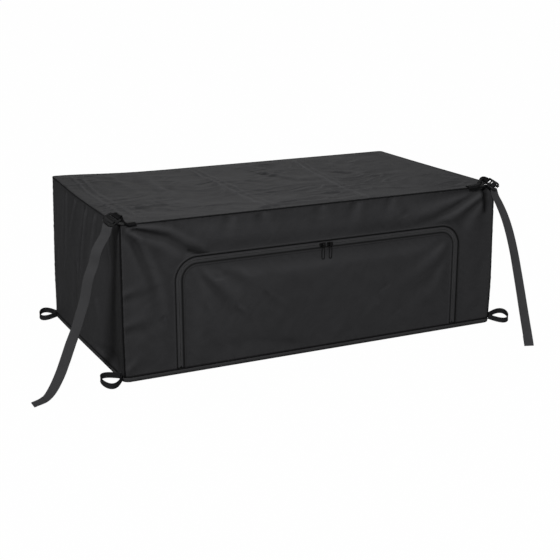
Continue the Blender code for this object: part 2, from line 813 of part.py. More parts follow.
def anchor_webbing(name, place, sewn, sign_x):
    """Doubled webbing sewn over the top front edge, which rises in a bunch to the lock's bar
    and folds round it."""
    bar = place.translation
    ahead, side, normal = (place.to_3x3() @ Vector(axis) for axis in ((1, 0, 0), (0, 1, 0), (0, 0, 1)))
    outward = Vector((sign_x, 0, 0))
    flat_gap = (WEBBING + CLEAR) / 2
    turn_r = hypot(LOCK_BAR, LOCK_THICK) / 2 + CLEAR + WEBBING / 2
    start_z = BAG_HEIGHT + CLEAR + WEBBING / 2 + flat_gap
    ends = [Vector((sign_x * (HALF_LENGTH - x), FRONT_Y + ANCHOR_Y, start_z)) for x in sewn]
    reach = 0.5 * (bar - ends[1]).length
    knots = [ends[1], ends[1] + outward * reach, bar - ahead * (0.006 + reach * 0.8), bar - ahead * 0.006]

    middle = [(ends[0], outward, 0.0), (ends[0].lerp(ends[1], 0.5), outward, 0.0)]
    for t in spaced(0, 1, 7):
        s = 1 - t
        point = s**3 * knots[0] + 3 * s * s * t * knots[1] + 3 * s * t * t * knots[2] + t**3 * knots[3]
        heading = (
            s * s * (knots[1] - knots[0])
            + 2 * s * t * (knots[2] - knots[1])
            + t * t * (knots[3] - knots[2])
        )
        middle.append((point, heading.normalized(), t))

    across_sewn = Vector((0, 0, 1)).cross(outward)
    stations = []
    for point, heading, t in middle:
        across = across_sewn.lerp(side, smooth(t))
        across = (across - heading * across.dot(heading)).normalized()
        lift = flat_gap + (0.9 * turn_r - flat_gap) * smooth(t)
        width = ANCHOR_WIDTH * (1 - ANCHOR_GATHER * sin(pi * t))
        stations.append((point, across * width, heading.cross(across) * lift, t))

    path = [(point + lift, across, t) for point, across, lift, t in stations]
    for turn in spaced(2.0, -2.0, 9):
        point = bar + turn_r * (ahead * cos(turn) + normal * sin(turn))
        path.append((point, side * ANCHOR_WIDTH, 1.0))
    path += [(point - lift, across, t) for point, across, lift, t in reversed(stations)]

    def corner(i, j):
        point, across, t = path[i]
        placed = point + across * (j / 6 - 0.5)
        over = max(0.0, FRONT_Y - 0.001 - placed.y) * (1 - smooth(t / 0.5))
        return placed + Vector((0, over * 0.35, -over * 0.75))

    made = sheet(name, len(path) - 1, 6, corner, WEBBING_FINISH)
    return solidify(made, WEBBING, 0)


# Free tie straps below their locks: each point past the bag's end, in front of it and above
# the floor, and the direction across the strap there
LEFT_STRAP = [
    ((0.0380, 0.0095, 0.4800), (0.54, -0.78, -0.30)),
    ((0.0460, 0.0135, 0.4620), (0.60, -0.77, -0.20)),
    ((0.0727, 0.0190, 0.4228), (0.70, -0.71, -0.08)),
    ((0.0864, 0.0210, 0.3814), (0.74, -0.67, -0.05)),
    ((0.1037, 0.0235, 0.3407), (0.74, -0.67, -0.05)),
    ((0.1180, 0.0270, 0.2837), (0.72, -0.69, -0.06)),
    ((0.1335, 0.0302, 0.2431), (0.70, -0.71, -0.06)),
    ((0.1500, 0.0335, 0.2005), (0.66, -0.75, -0.06)),
    ((0.1685, 0.0367, 0.1596), (0.60, -0.80, -0.06)),
    ((0.1860, 0.0399, 0.1185), (0.52, -0.85, -0.05)),
    ((0.2050, 0.0431, 0.0770), (0.42, -0.90, -0.05)),
    ((0.2290, 0.0463, 0.0370), (0.25, -0.97, -0.03)),
    ((0.2540, 0.0479, 0.0110), (0.10, -0.99, 0.00)),
    ((0.2890, 0.0490, 0.0012), (0.00, -1.00, 0.00)),
]
RIGHT_STRAP = [
    ((-0.0030, 0.0140, 0.4685), (0.94, 0.32, 0.10)),
    ((-0.0035, 0.0240, 0.4510), (0.97, 0.22, 0.04)),
    ((0.0000, 0.0400, 0.4300), (0.99, 0.12, 0.00)),
    ((0.0068, 0.0600, 0.3960), (1.00, 0.04, 0.00)),
    ((0.0115, 0.0784, 0.3600), (1.00, -0.02, 0.00)),
    ((0.0140, 0.0988, 0.3165), (1.00, -0.06, 0.00)),
    ((0.0140, 0.1202, 0.2701), (1.00, -0.08, 0.00)),
    ((0.0110, 0.1424, 0.2247), (1.00, -0.12, 0.00)),
    ((0.0055, 0.1728, 0.1652), (0.99, -0.16, 0.00)),
    ((0.0000, 0.1968, 0.1208), (0.98, -0.20, 0.00)),
    ((-0.0059, 0.2214, 0.0772), (0.97, -0.24, 0.00)),
    ((-0.0119, 0.2465, 0.0342), (0.96, -0.26, 0.00)),
    ((-0.0180, 0.2660, 0.0045), (0.96, -0.26, 0.00)),
]


def strap_wrap(place):
    """The strap's turn round the ladder bar, from its sewn end to where it hangs free."""
    _, _, ladder_slot, ladder, rim_slot, rim = lock_stations()
    up_x = (ladder_slot + ladder) / 2
    down_x = (rim_slot + rim) / 2
    top = LOCK_THICK / 2 + 0.0016
    points = [
        (up_x + 0.0030, -LOCK_THICK / 2 - 0.0030),
        (up_x, 0.0),
        (up_x + 0.0016, top - 0.0008),
        ((up_x + down_x) / 2, top + 0.0008),
        (down_x - 0.0016, top - 0.0008),
        (down_x, 0.0),
        (down_x - 0.0004, -LOCK_THICK / 2 - 0.0025),
    ]
    return [place @ Vector((x, 0, z)) for x, z in points]


def tie_strap(name, place, route, sign_x):
    wrap = strap_wrap(place)
    across = place.to_3x3() @ Vector((0, 1, 0))
    marks = wrap + [
        Vector((sign_x * (HALF_LENGTH + past), FRONT_Y - ahead, z)) for (past, ahead, z), _ in route
    ]
    turns = [across] * len(wrap) + [Vector(turn) for _, turn in route]
    wrap_length = sum((b - a).length for a, b in zip(wrap, wrap[1:])) + STRAP_BEND
    points = curve_through(marks, wrap_length, 20, 34)
    turns = widths_along(points, marks, turns)
    return ribbon(name, points, turns, STRAP_WIDTH, WEBBING, WEBBING_FINISH)


def widths_along(points, marks, turns):
    """The direction across the strap at each point, read between the route's own."""
    spans = [0.0]
    for a, b in zip(marks, marks[1:]):
        spans.append(spans[-1] + (b - a).length)
    total = 0.0
    steps = [0.0]
    for a, b in zip(points, points[1:]):
        total += (b - a).length
        steps.append(total)
    found = []
    for step in steps:
        want = step / total * spans[-1]
        k = max(i for i in range(len(spans) - 1) if spans[i] <= want + 1e-9)
        share = (want - spans[k]) / (spans[k + 1] - spans[k])
        found.append(turns[k].lerp(turns[k + 1], share))
    return found


# Assembly


def build():
    top_panel()
    base_panel()
    base_band()
    front_and_door()
    wall_panel("back", "back_panel", 18)
    wall_panel("left", "left_side_panel", 12)
    wall_panel("right", "right_side_panel", 12)

    ring = plan_outline(TOP_CORNER_R, CLOTH / 2, 4)
    rod("top_piping", [(x, y, SEAM_Z) for x, y in ring], PIPING_R, PIPING_FINISH, True, 6)
    ring = plan_outline(BASE_CORNER_R, CLOTH / 2, 6)
    rod("base_piping", [(x, y, BASE_SEAM_Z) for x, y in ring], PIPING_R, PIPING_FINISH, True, 6)
    for side, corner in (
        ("front", "front_right"),
        ("right", "back_right"),
        ("back", "back_left"),
        ("left", "front_left"),
    ):
        rod("corner_piping_" + corner, corner_line(side), PIPING_R, PIPING_FINISH, False, 6)

    zip_tapes_and_chain()
    zip_stop("zip_stop_left", DOOR_LEFT)
    zip_stop("zip_stop_right", DOOR_RIGHT)
    offset = (SLIDER_NOSE_GAP + SLIDER_LENGTH) / 2
    for name, sign in (("left", -1), ("right", 1)):
        x = SLIDERS_MEET_X + sign * offset
        slider("zip_slider_" + name, x, -sign)
        pull("zip_pull_" + name, x)

    for name, sign, bar, turn, sewn, route in (
        ("left", -1, LEFT_LOCK_BAR, LEFT_LOCK_TURN, LEFT_ANCHOR_SEWN, LEFT_STRAP),
        ("right", 1, RIGHT_LOCK_BAR, RIGHT_LOCK_TURN, RIGHT_ANCHOR_SEWN, RIGHT_STRAP),
    ):
        place = lock_place(bar, turn, sign)
        anchor_webbing("anchor_webbing_" + name, place, sewn, sign)
        ladder_lock("ladder_lock_" + name, place)
        tie_strap("tie_strap_" + name, place, route, sign)

    for name, sign_x, sign_y in (
        ("front_left", -1, -1),
        ("front_right", 1, -1),
        ("back_left", -1, 1),
        ("back_right", 1, 1),
    ):
        tie_loop("tie_loop_" + name, sign_x, sign_y)


build()
bpy.context.view_layer.update()
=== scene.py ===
# %% [markdown]
# # A truck bed cargo bag
# The object is a soft box of dark coated polyester cloth. It has a zip door in its front, a
# ladder lock with a hanging webbing strap at each front top corner, and a webbing loop at each
# foot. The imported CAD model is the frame: it gives the size, the place and the moving bodies.
# Everything here is dressed on it, in metres, with the origin under the middle of the bag.

# %% Load the frame
from math import cos, pi, radians, sin

import bmesh
import bpy
import numpy as np
from mathutils import Matrix, Vector, noise


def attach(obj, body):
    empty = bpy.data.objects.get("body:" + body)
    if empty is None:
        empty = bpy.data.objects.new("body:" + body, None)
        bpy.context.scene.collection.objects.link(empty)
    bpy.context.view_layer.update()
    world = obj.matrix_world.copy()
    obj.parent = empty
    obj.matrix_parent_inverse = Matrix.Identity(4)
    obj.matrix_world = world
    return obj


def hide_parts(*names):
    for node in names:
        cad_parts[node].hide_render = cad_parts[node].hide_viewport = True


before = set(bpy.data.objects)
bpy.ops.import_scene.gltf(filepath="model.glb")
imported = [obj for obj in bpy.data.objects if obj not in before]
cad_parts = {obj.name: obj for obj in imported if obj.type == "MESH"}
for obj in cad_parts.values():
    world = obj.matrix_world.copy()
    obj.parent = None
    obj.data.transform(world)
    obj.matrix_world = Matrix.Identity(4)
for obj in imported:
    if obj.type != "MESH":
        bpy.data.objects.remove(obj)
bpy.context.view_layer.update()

# %% [markdown]
# ## Camera
# The photograph looks from the front left and a little above. The place, turn and lens were
# worked out from the bag's seven corners in sight, so that the box lands on the same pixels.

# %% Camera
camera_data = bpy.data.cameras.new("photo_camera")
camera_data.sensor_width = 36.0
camera_data.lens = 72.29
camera = bpy.data.objects.new("photo_camera", camera_data)
bpy.context.scene.collection.objects.link(camera)
camera.location = (-1.5949, -3.3770, 1.2432)
camera.rotation_euler = (radians(73.5484), 0.0, radians(-25.8104))
bpy.context.scene.camera = camera
print("lens", camera_data.lens)

# %% [markdown]
# ## Sizes shared with the CAD model
# The cloth, the zip and the webbing sit on the same lines as their CAD solids, so their sizes
# are repeated here once. Only the zip's hems stand closer together than in the CAD model, as they
# do in the photograph.

# %% Sizes
BAG_LENGTH, BAG_DEPTH, BAG_HEIGHT = 1.300, 0.730, 0.485
HALF_LENGTH, HALF_DEPTH = BAG_LENGTH / 2, BAG_DEPTH / 2
FRONT_Y = -HALF_DEPTH
CLOTH = 0.0016
PIPING_R = 0.0025
TOP_CORNER_R, BASE_CORNER_R, CORNER_BLEND = 0.012, 0.024, 0.170
BASE_BAND, BASE_EDGE_R = 0.014, 0.0035
SEAM_Z = BAG_HEIGHT - PIPING_R
BASE_SEAM_Z = BASE_BAND + 0.0003 + PIPING_R
DOOR_LEFT, DOOR_RIGHT, DOOR_TOP, DOOR_CORNER_R = -0.471, 0.512, 0.352, 0.060
ZIP_GAP = 0.023
CHAIN_DEPTH = 0.0027
TAPE_DEPTH = CHAIN_DEPTH - 0.0004
STRAP_WIDTH, WEBBING = 0.032, 0.0016
print("zip door", round(DOOR_RIGHT - DOOR_LEFT, 3), "wide")


def smooth(t):
    """0 below 0, 1 above 1, and an even rise between them."""
    t = np.clip(t, 0.0, 1.0)
    return t * t * (3 - 2 * t)


# %% [markdown]
# ## Straps
# Each tie strap is a flat webbing, 32 mm wide. It comes up through its ladder lock, turns over
# the ladder bar and hangs free to the ground. A curve with a bevel would turn it into a pipe,
# so the band is built from its own centreline: at each point the script knows the direction
# across the strap, and lays a flat profile with slightly thicker selvedges there.

# %% A smooth line through points
def along_line(points):
    """How far each point is along its line."""
    return np.concatenate([[0], np.cumsum(np.linalg.norm(np.diff(points, axis=0), axis=1))])


def curve_through(points, count):
    """count + 1 points evenly spaced along a smooth curve through the given ones."""
    points = [Vector(p) for p in points]
    ends = [2 * points[0] - points[1], *points, 2 * points[-1] - points[-2]]
    fine = []
    for k in range(1, len(ends) - 2):
        p0, p1, p2, p3 = ends[k - 1 : k + 3]
        for t in np.linspace(0, 1, 25)[:-1]:
            fine.append(
                0.5 * (2 * p1 + (p2 - p0) * t + (2 * p0 - 5 * p1 + 4 * p2 - p3) * t**2
                       + (3 * p1 - p0 - 3 * p2 + p3) * t**3)
            )
    fine.append(points[-1])
    fine = np.array(fine)
    run = along_line(fine)
    want = np.linspace(0, run[-1], count + 1)
    return np.stack([np.interp(want, run, fine[:, k]) for k in range(3)], axis=1)


def unit(rows):
    """The same directions, each of length 1."""
    return rows / np.linalg.norm(rows, axis=-1, keepdims=True)


# %% How the loaded bag stands
PUSHED_RIGHT, PUSHED_RIGHT_FOOT, PUSHED_LEFT_FOOT, RAISED_CORNER = 0.011, 0.010, 0.017, 0.012


def slumped(points):
    """The skin as it stands: out at the front right and the back left foot, up at the back left top."""
    x, y, z = points[..., 0], points[..., 1], points[..., 2]
    down = np.clip(1 - z / BAG_HEIGHT, 0, 1)
    from_front, from_back = y - FRONT_Y, y + FRONT_Y
    at_right = np.exp(-((from_front / 0.35) ** 2)) * smooth((x - 0.53) / 0.12)
    at_left = np.exp(-((from_back / 0.62) ** 2)) * smooth((-x - 0.49) / 0.15)
    raised = np.exp(-(((x + HALF_LENGTH) ** 2 + from_back**2) / 0.20**2)) * smooth(z / 0.48)
    moved = points.copy()
    right = (PUSHED_RIGHT + PUSHED_RIGHT_FOOT * down) * at_right
    moved[..., 0] = x + right - PUSHED_LEFT_FOOT * down * at_left
    moved[..., 2] = z + RAISED_CORNER * raised
    return moved


# %% A mesh from rows of points
def row_mesh(name, rows, uv, close_across=False, caps=False, crest=0.0, seam=1.0, slump=True):
    """A skin over rows of points, with a UV for each point. rows is (count, across, 3).

    crest is 1 on a crest of the cloth and -1 in a hollow, for a painted highlight on crests and painted shade
    in hollows, and seam is a painted shade factor: under 1 where shade is painted, beside seams, in pleats
    and in cast shadows, and over 1 where light is painted.
    """
    count, across = rows.shape[:2]
    rows = slumped(rows) if slump else rows
    verts = rows.reshape(-1, 3)
    flat_uv = uv.reshape(-1, 2)
    # The marks carry painted light and shade: the crest, and the painted shade factor
    marks = np.stack([np.broadcast_to(0.5 + 0.5 * np.asarray(crest), (count, across)),
                      np.broadcast_to(seam, (count, across))], axis=-1).reshape(-1, 2)
    faces, corner_uv, corner_marks = [], [], []
    steps = across if close_across else across - 1
    for i in range(count - 1):
        for j in range(steps):
            k = (j + 1) % across
            face = (i * across + j, i * across + k, (i + 1) * across + k, (i + 1) * across + j)
            faces.append(face)
            corner_uv.extend(flat_uv[v] for v in face)
            corner_marks.extend(marks[v] for v in face)
    if caps:
        for ring in (list(range(across))[::-1], list(range((count - 1) * across, count * across))):
            faces.append(tuple(ring))
            corner_uv.extend(flat_uv[v] for v in ring)
            corner_marks.extend(marks[v] for v in ring)
    mesh = bpy.data.meshes.new(name)
    mesh.from_pydata(verts.tolist(), [], faces)
    layer = mesh.uv_layers.new(name="cloth_uv")
    layer.data.foreach_set("uv", np.array(corner_uv, np.float32).ravel())
    layer = mesh.uv_layers.new(name="cloth_marks")
    layer.data.foreach_set("uv", np.array(corner_marks, np.float32).ravel())
    mesh.polygons.foreach_set("use_smooth", [True] * len(mesh.polygons))
    made = bpy.data.objects.new(name, mesh)
    bpy.context.scene.collection.objects.link(made)
    return made


def facing_out(made):
    """Turns the faces of a closed skin outwards."""
    shape = bmesh.new()
    shape.from_mesh(made.data)
    bmesh.ops.remove_doubles(shape, verts=shape.verts, dist=1e-6)
    bmesh.ops.recalc_face_normals(shape, faces=shape.faces)
    shape.to_mesh(made.data)
    shape.free()
    return made


# %% A band of webbing
SELVEDGE = [(-1.0, 0.0), (-0.985, 0.42), (-0.93, 0.56), (-0.86, 0.46), (-0.5, 0.44), (0.0, 0.44),
            (0.5, 0.44), (0.86, 0.46), (0.93, 0.56), (0.985, 0.42), (1.0, 0.0)]


def band(name, points, across, width, thickness, cup=0.0, seam=1.0, slump=False):
    """Webbing along points. across is the direction over it, and cup bows it across."""
    heading = unit(np.gradient(points, axis=0))
    across = unit(across - heading * np.sum(across * heading, axis=1, keepdims=True))
    normal = np.cross(heading, across)
    ring = SELVEDGE + [(s, -t) for s, t in SELVEDGE[-2:0:-1]]
    run = along_line(points)
    rows = np.zeros((len(points), len(ring), 3))
    uv = np.zeros((len(points), len(ring), 2))
    for j, (s, t) in enumerate(ring):
        bow = cup * (s * s - 0.4)
        rows[:, j] = points + across * (s * width / 2) + normal * (t * thickness + bow)
        uv[:, j, 0] = s * width / 2
        uv[:, j, 1] = run
    return facing_out(row_mesh(name, rows, uv, close_across=True, caps=True, seam=seam, slump=slump))


# %% Where the ladder locks sit
LOCK_BAR, LOCK_SLOT, LOCK_LADDER_BAR, LOCK_THICK = 0.0044, 0.0072, 0.0056, 0.0046
LOCK_ROLL = 30.0
# The hinge bar past the bag's end, behind its front and above its top, then the turn and the side
LEFT_LOCK = ((0.0055, 0.008, 0.0225), 31.0, -1)
RIGHT_LOCK = ((-0.0165, 0.010, 0.0125), 60.0, 1)


def lock_place(bar, turn, sign_x):
    """The lock's own axes: X ahead to its rim, Y along its bars, Z out of its flat."""
    roll, turn = radians(LOCK_ROLL), radians(turn)
    down = Vector((0, -cos(roll), -sin(roll)))
    normal = Vector((0, -sin(roll), cos(roll)))
    ahead = Vector((sign_x * cos(turn), 0, 0)) + down * sin(turn)
    axes = Matrix((ahead, normal.cross(ahead), normal)).transposed().to_4x4()
    past, back, above = bar
    at = Vector((sign_x * (HALF_LENGTH + past), FRONT_Y + back, BAG_HEIGHT + above))
    return Matrix.Translation(at) @ axes


def strap_wrap(place):
    """The strap's turn round the ladder bar."""
    ladder_slot = LOCK_BAR / 2 + LOCK_SLOT + LOCK_BAR
    ladder = ladder_slot + LOCK_SLOT
    rim_slot = ladder + LOCK_LADDER_BAR
    up_x, down_x = ladder_slot + LOCK_SLOT / 2, rim_slot + LOCK_SLOT / 2
    top = LOCK_THICK / 2 + WEBBING
    turn = [
        (up_x + 0.0030, -LOCK_THICK / 2 - 0.0030),
        (up_x, 0.0),
        (up_x + 0.0016, top - 0.0008),
        ((up_x + down_x) / 2, top + 0.0008),
        (down_x - 0.0016, top - 0.0008),
        (down_x, 0.0),
        (down_x - 0.0004, -LOCK_THICK / 2 - 0.0025),
    ]
    return [place @ Vector((x, 0, z)) for x, z in turn]


# %% The straps' routes: past the bag's end, in front of it, above the ground; and across
LEFT_ROUTE = [
    ((0.0380, 0.0095, 0.4800), (0.54, -0.78, -0.30)),
    ((0.0460, 0.0135, 0.4620), (0.60, -0.77, -0.20)),
    ((0.0727, 0.0190, 0.4228), (0.70, -0.71, -0.08)),
    ((0.0864, 0.0210, 0.3814), (0.74, -0.67, -0.05)),
    ((0.1037, 0.0235, 0.3407), (0.74, -0.67, -0.05)),
    ((0.1180, 0.0270, 0.2837), (0.72, -0.69, -0.06)),
    ((0.1335, 0.0302, 0.2431), (0.70, -0.71, -0.06)),
    ((0.1500, 0.0335, 0.2005), (0.66, -0.75, -0.06)),
    ((0.1685, 0.0367, 0.1596), (0.78, -0.62, -0.06)),
    ((0.1860, 0.0399, 0.1185), (0.78, -0.62, -0.05)),
    ((0.2050, 0.0431, 0.0770), (0.74, -0.67, -0.05)),
    ((0.2290, 0.0463, 0.0370), (0.62, -0.78, -0.03)),
    ((0.2540, 0.0479, 0.0120), (0.40, -0.92, 0.00)),
    ((0.2890, 0.0490, 0.0012), (0.20, -0.98, 0.00)),
]
RIGHT_ROUTE = [
    ((-0.0030, 0.0140, 0.4685), (0.94, 0.32, 0.10)),
    ((-0.0035, 0.0240, 0.4510), (0.97, 0.22, 0.04)),
    ((0.0000, 0.0400, 0.4300), (0.99, 0.12, 0.00)),
    ((0.0068, 0.0600, 0.3960), (1.00, 0.04, 0.00)),
    ((0.0115, 0.0784, 0.3600), (1.00, -0.02, 0.00)),
    ((0.0140, 0.0988, 0.3165), (1.00, -0.06, 0.00)),
    ((0.0140, 0.1202, 0.2701), (1.00, -0.08, 0.00)),
    ((0.0110, 0.1424, 0.2247), (1.00, -0.12, 0.00)),
    ((0.0055, 0.1728, 0.1652), (0.99, -0.16, 0.00)),
    ((0.0000, 0.1968, 0.1208), (0.98, -0.20, 0.00)),
    ((-0.0059, 0.2214, 0.0772), (0.97, -0.24, 0.00)),
    ((-0.0119, 0.2465, 0.0342), (0.96, -0.26, 0.00)),
    ((-0.0180, 0.2660, 0.0045), (0.96, -0.26, 0.00)),
]


# %% Lay the straps
def strap_line(lock, route):
    """The strap's centreline and the direction across it, from the lock to its free end."""
    place = lock_place(*lock)
    wrap = strap_wrap(place)
    sign_x = lock[2]
    marks = wrap + [
        Vector((sign_x * (HALF_LENGTH + past), FRONT_Y - ahead, z)) for (past, ahead, z), _ in route
    ]
    turns = [place.to_3x3() @ Vector((0, 1, 0))] * len(wrap) + [Vector(t) for _, t in route]
    points = curve_through(marks, 220)
    spans = along_line(np.array(marks))
    want = along_line(points) / along_line(points)[-1] * spans[-1]
    turns = np.array(turns)
    across = np.stack([np.interp(want, spans, turns[:, k]) for k in range(3)], axis=1)
    return points, across


HEM_OUT = 0.0017
HEM_POINTS = slice(-14, None)
HEM_SIDE = {"left": (2, "upper"), "right": (1, "back")}
straps = {}
for side, lock, route in (("left", LEFT_LOCK, LEFT_ROUTE), ("right", RIGHT_LOCK, RIGHT_ROUTE)):
    line, across = strap_line(lock, route)
    # Painted shade: the strap is drawn dark where it runs through its lock, then turns to its own grey
    painted_lock_shade = 0.12 + 0.88 * smooth((along_line(line) - 0.016) / 0.014)
    strap = band("strap_" + side, line, across, STRAP_WIDTH, WEBBING, cup=0.0006, seam=painted_lock_shade[:, None])
    normal = np.cross(unit(np.gradient(line, axis=0)), unit(across))
    axis, way = HEM_SIDE[side]
    if normal[-1][axis] < 0:
        normal = -normal
    hem_line = line[HEM_POINTS] + normal[HEM_POINTS] * HEM_OUT
    hem = band("strap_hem_" + side, hem_line, across[HEM_POINTS], STRAP_WIDTH, WEBBING)
    straps[side] = (strap, hem, line)
    print(strap.name, "length", round(float(along_line(line)[-1]), 3), "hem on its", way, "side")

# %% [markdown]
# ## Finishes
# The cloth is a woven polyester with a dull coating. Close up it shows a plain weave, and from
# a step away only soft folds and slight changes of grey. Several finishes need a weave or a
# slow change of shade, so these two effects are shader node groups. A third group paints light
# and shade: crests of the cloth lighter, hollows darker, and painted shade beside seams and in
# shadows. They put out only masks and heights, and each material keeps its own Principled shader.

# %% Node helpers
def socket(tree, way, name, kind="NodeSocketFloat", value=None):
    made = tree.interface.new_socket(name=name, in_out=way, socket_type=kind)
    if value is not None:
        made.default_value = value
    return made


def math_node(tree, operation, a, b=None):
    """A Math node on links or numbers."""
    node = tree.nodes.new("ShaderNodeMath")
    node.operation = operation
    for slot, value in zip(node.inputs, (a, b)):
        if value is None:
            continue
        if isinstance(value, (int, float)):
            slot.default_value = value
        else:
            tree.links.new(value, slot)
    return node.outputs[0]


# %% The weave group
def weave_group():
    """Threads over and under each other. Coordinates are metres on the cloth."""
    tree = bpy.data.node_groups.new("woven_threads", "ShaderNodeTree")
    socket(tree, "INPUT", "Cloth", "NodeSocketVector")
    socket(tree, "INPUT", "Thread", value=0.0010)
    socket(tree, "INPUT", "Thread Along", value=0.0010)
    socket(tree, "OUTPUT", "Height")
    socket(tree, "OUTPUT", "Shade")
    ins = tree.nodes.new("NodeGroupInput")
    outs = tree.nodes.new("NodeGroupOutput")
    split = tree.nodes.new("ShaderNodeSeparateXYZ")
    tree.links.new(ins.outputs["Cloth"], split.inputs[0])
    u = math_node(tree, "DIVIDE", split.outputs[0], ins.outputs["Thread"])
    v = math_node(tree, "DIVIDE", split.outputs[1], ins.outputs["Thread Along"])
    wave_u = math_node(tree, "SINE", math_node(tree, "MULTIPLY", u, pi))
    wave_v = math_node(tree, "SINE", math_node(tree, "MULTIPLY", v, pi))
    warp = math_node(tree, "MULTIPLY", wave_u, wave_u)
    weft = math_node(tree, "MULTIPLY", wave_v, wave_v)
    over = math_node(tree, "MULTIPLY", wave_u, wave_v)
    up = math_node(tree, "GREATER_THAN", over, 0.0)
    down = math_node(tree, "SUBTRACT", 1.0, up)
    height = math_node(
        tree, "ADD", math_node(tree, "MULTIPLY", warp, up), math_node(tree, "MULTIPLY", weft, down)
    )
    tree.links.new(height, outs.inputs["Height"])
    shade = math_node(tree, "ADD", math_node(tree, "MULTIPLY", height, 0.16), 0.90)
    tree.links.new(shade, outs.inputs["Shade"])
    return tree


WEAVE = weave_group()
print(WEAVE.name, [s.name for s in WEAVE.interface.items_tree])


# %% The shade group
def shade_group():
    """Slow changes of grey over a surface, with fine specks of dust."""
    tree = bpy.data.node_groups.new("uneven_shade", "ShaderNodeTree")
    socket(tree, "INPUT", "Place", "NodeSocketVector")
    socket(tree, "INPUT", "Patch Size", value=0.25)
    socket(tree, "INPUT", "Amount", value=0.2)
    socket(tree, "OUTPUT", "Shade")
    socket(tree, "OUTPUT", "Dust")
    ins = tree.nodes.new("NodeGroupInput")
    outs = tree.nodes.new("NodeGroupOutput")
    scale = math_node(tree, "DIVIDE", 1.0, ins.outputs["Patch Size"])
    patches = tree.nodes.new("ShaderNodeTexNoise")
    patches.inputs["Detail"].default_value = 4.0
    patches.inputs["Roughness"].default_value = 0.55
    tree.links.new(ins.outputs["Place"], patches.inputs["Vector"])
    tree.links.new(scale, patches.inputs["Scale"])
    centred = math_node(tree, "SUBTRACT", patches.outputs["Fac"], 0.5)
    swing = math_node(tree, "MULTIPLY", centred, ins.outputs["Amount"])
    tree.links.new(math_node(tree, "ADD", math_node(tree, "MULTIPLY", swing, 2.0), 1.0), outs.inputs["Shade"])
    specks = tree.nodes.new("ShaderNodeTexNoise")
    specks.inputs["Scale"].default_value = 420.0
    specks.inputs["Detail"].default_value = 2.0
    tree.links.new(ins.outputs["Place"], specks.inputs["Vector"])
    dust = math_node(tree, "MULTIPLY", math_node(tree, "SUBTRACT", specks.outputs["Fac"], 0.60), 6.0)
    dust = math_node(tree, "MINIMUM", math_node(tree, "MAXIMUM", dust, 0.0), 1.0)
    tree.links.new(dust, outs.inputs["Dust"])
    return tree


SHADE = shade_group()
print(SHADE.name)


# %% The crest group
def painted_shade_group():
    """Painted light and shade from the mesh's marks: the cloth's crests a little lighter and its hollows
    darker, times the painted shade factor that darkens it beside seams and in other shaded places.
    """
    tree = bpy.data.node_groups.new("painted_crest_and_seam_shade", "ShaderNodeTree")
    socket(tree, "INPUT", "Marks", "NodeSocketVector")
    socket(tree, "INPUT", "Strength", value=0.3)
    socket(tree, "OUTPUT", "Shade")
    ins = tree.nodes.new("NodeGroupInput")
    outs = tree.nodes.new("NodeGroupOutput")
    split = tree.nodes.new("ShaderNodeSeparateXYZ")
    tree.links.new(ins.outputs["Marks"], split.inputs[0])
    centred = math_node(tree, "MULTIPLY", math_node(tree, "SUBTRACT", split.outputs[0], 0.5), 2.0)
    lift = math_node(tree, "ADD", math_node(tree, "MULTIPLY", centred, ins.outputs["Strength"]), 1.0)
    tree.links.new(math_node(tree, "MULTIPLY", lift, split.outputs[1]), outs.inputs["Shade"])
    return tree


PAINTED_CREST_SHADE = painted_shade_group()
# Painted light and shade: how much lighter a crest and how much darker a hollow of the cloth is drawn
PAINTED_CREST_STRENGTH = 0.22


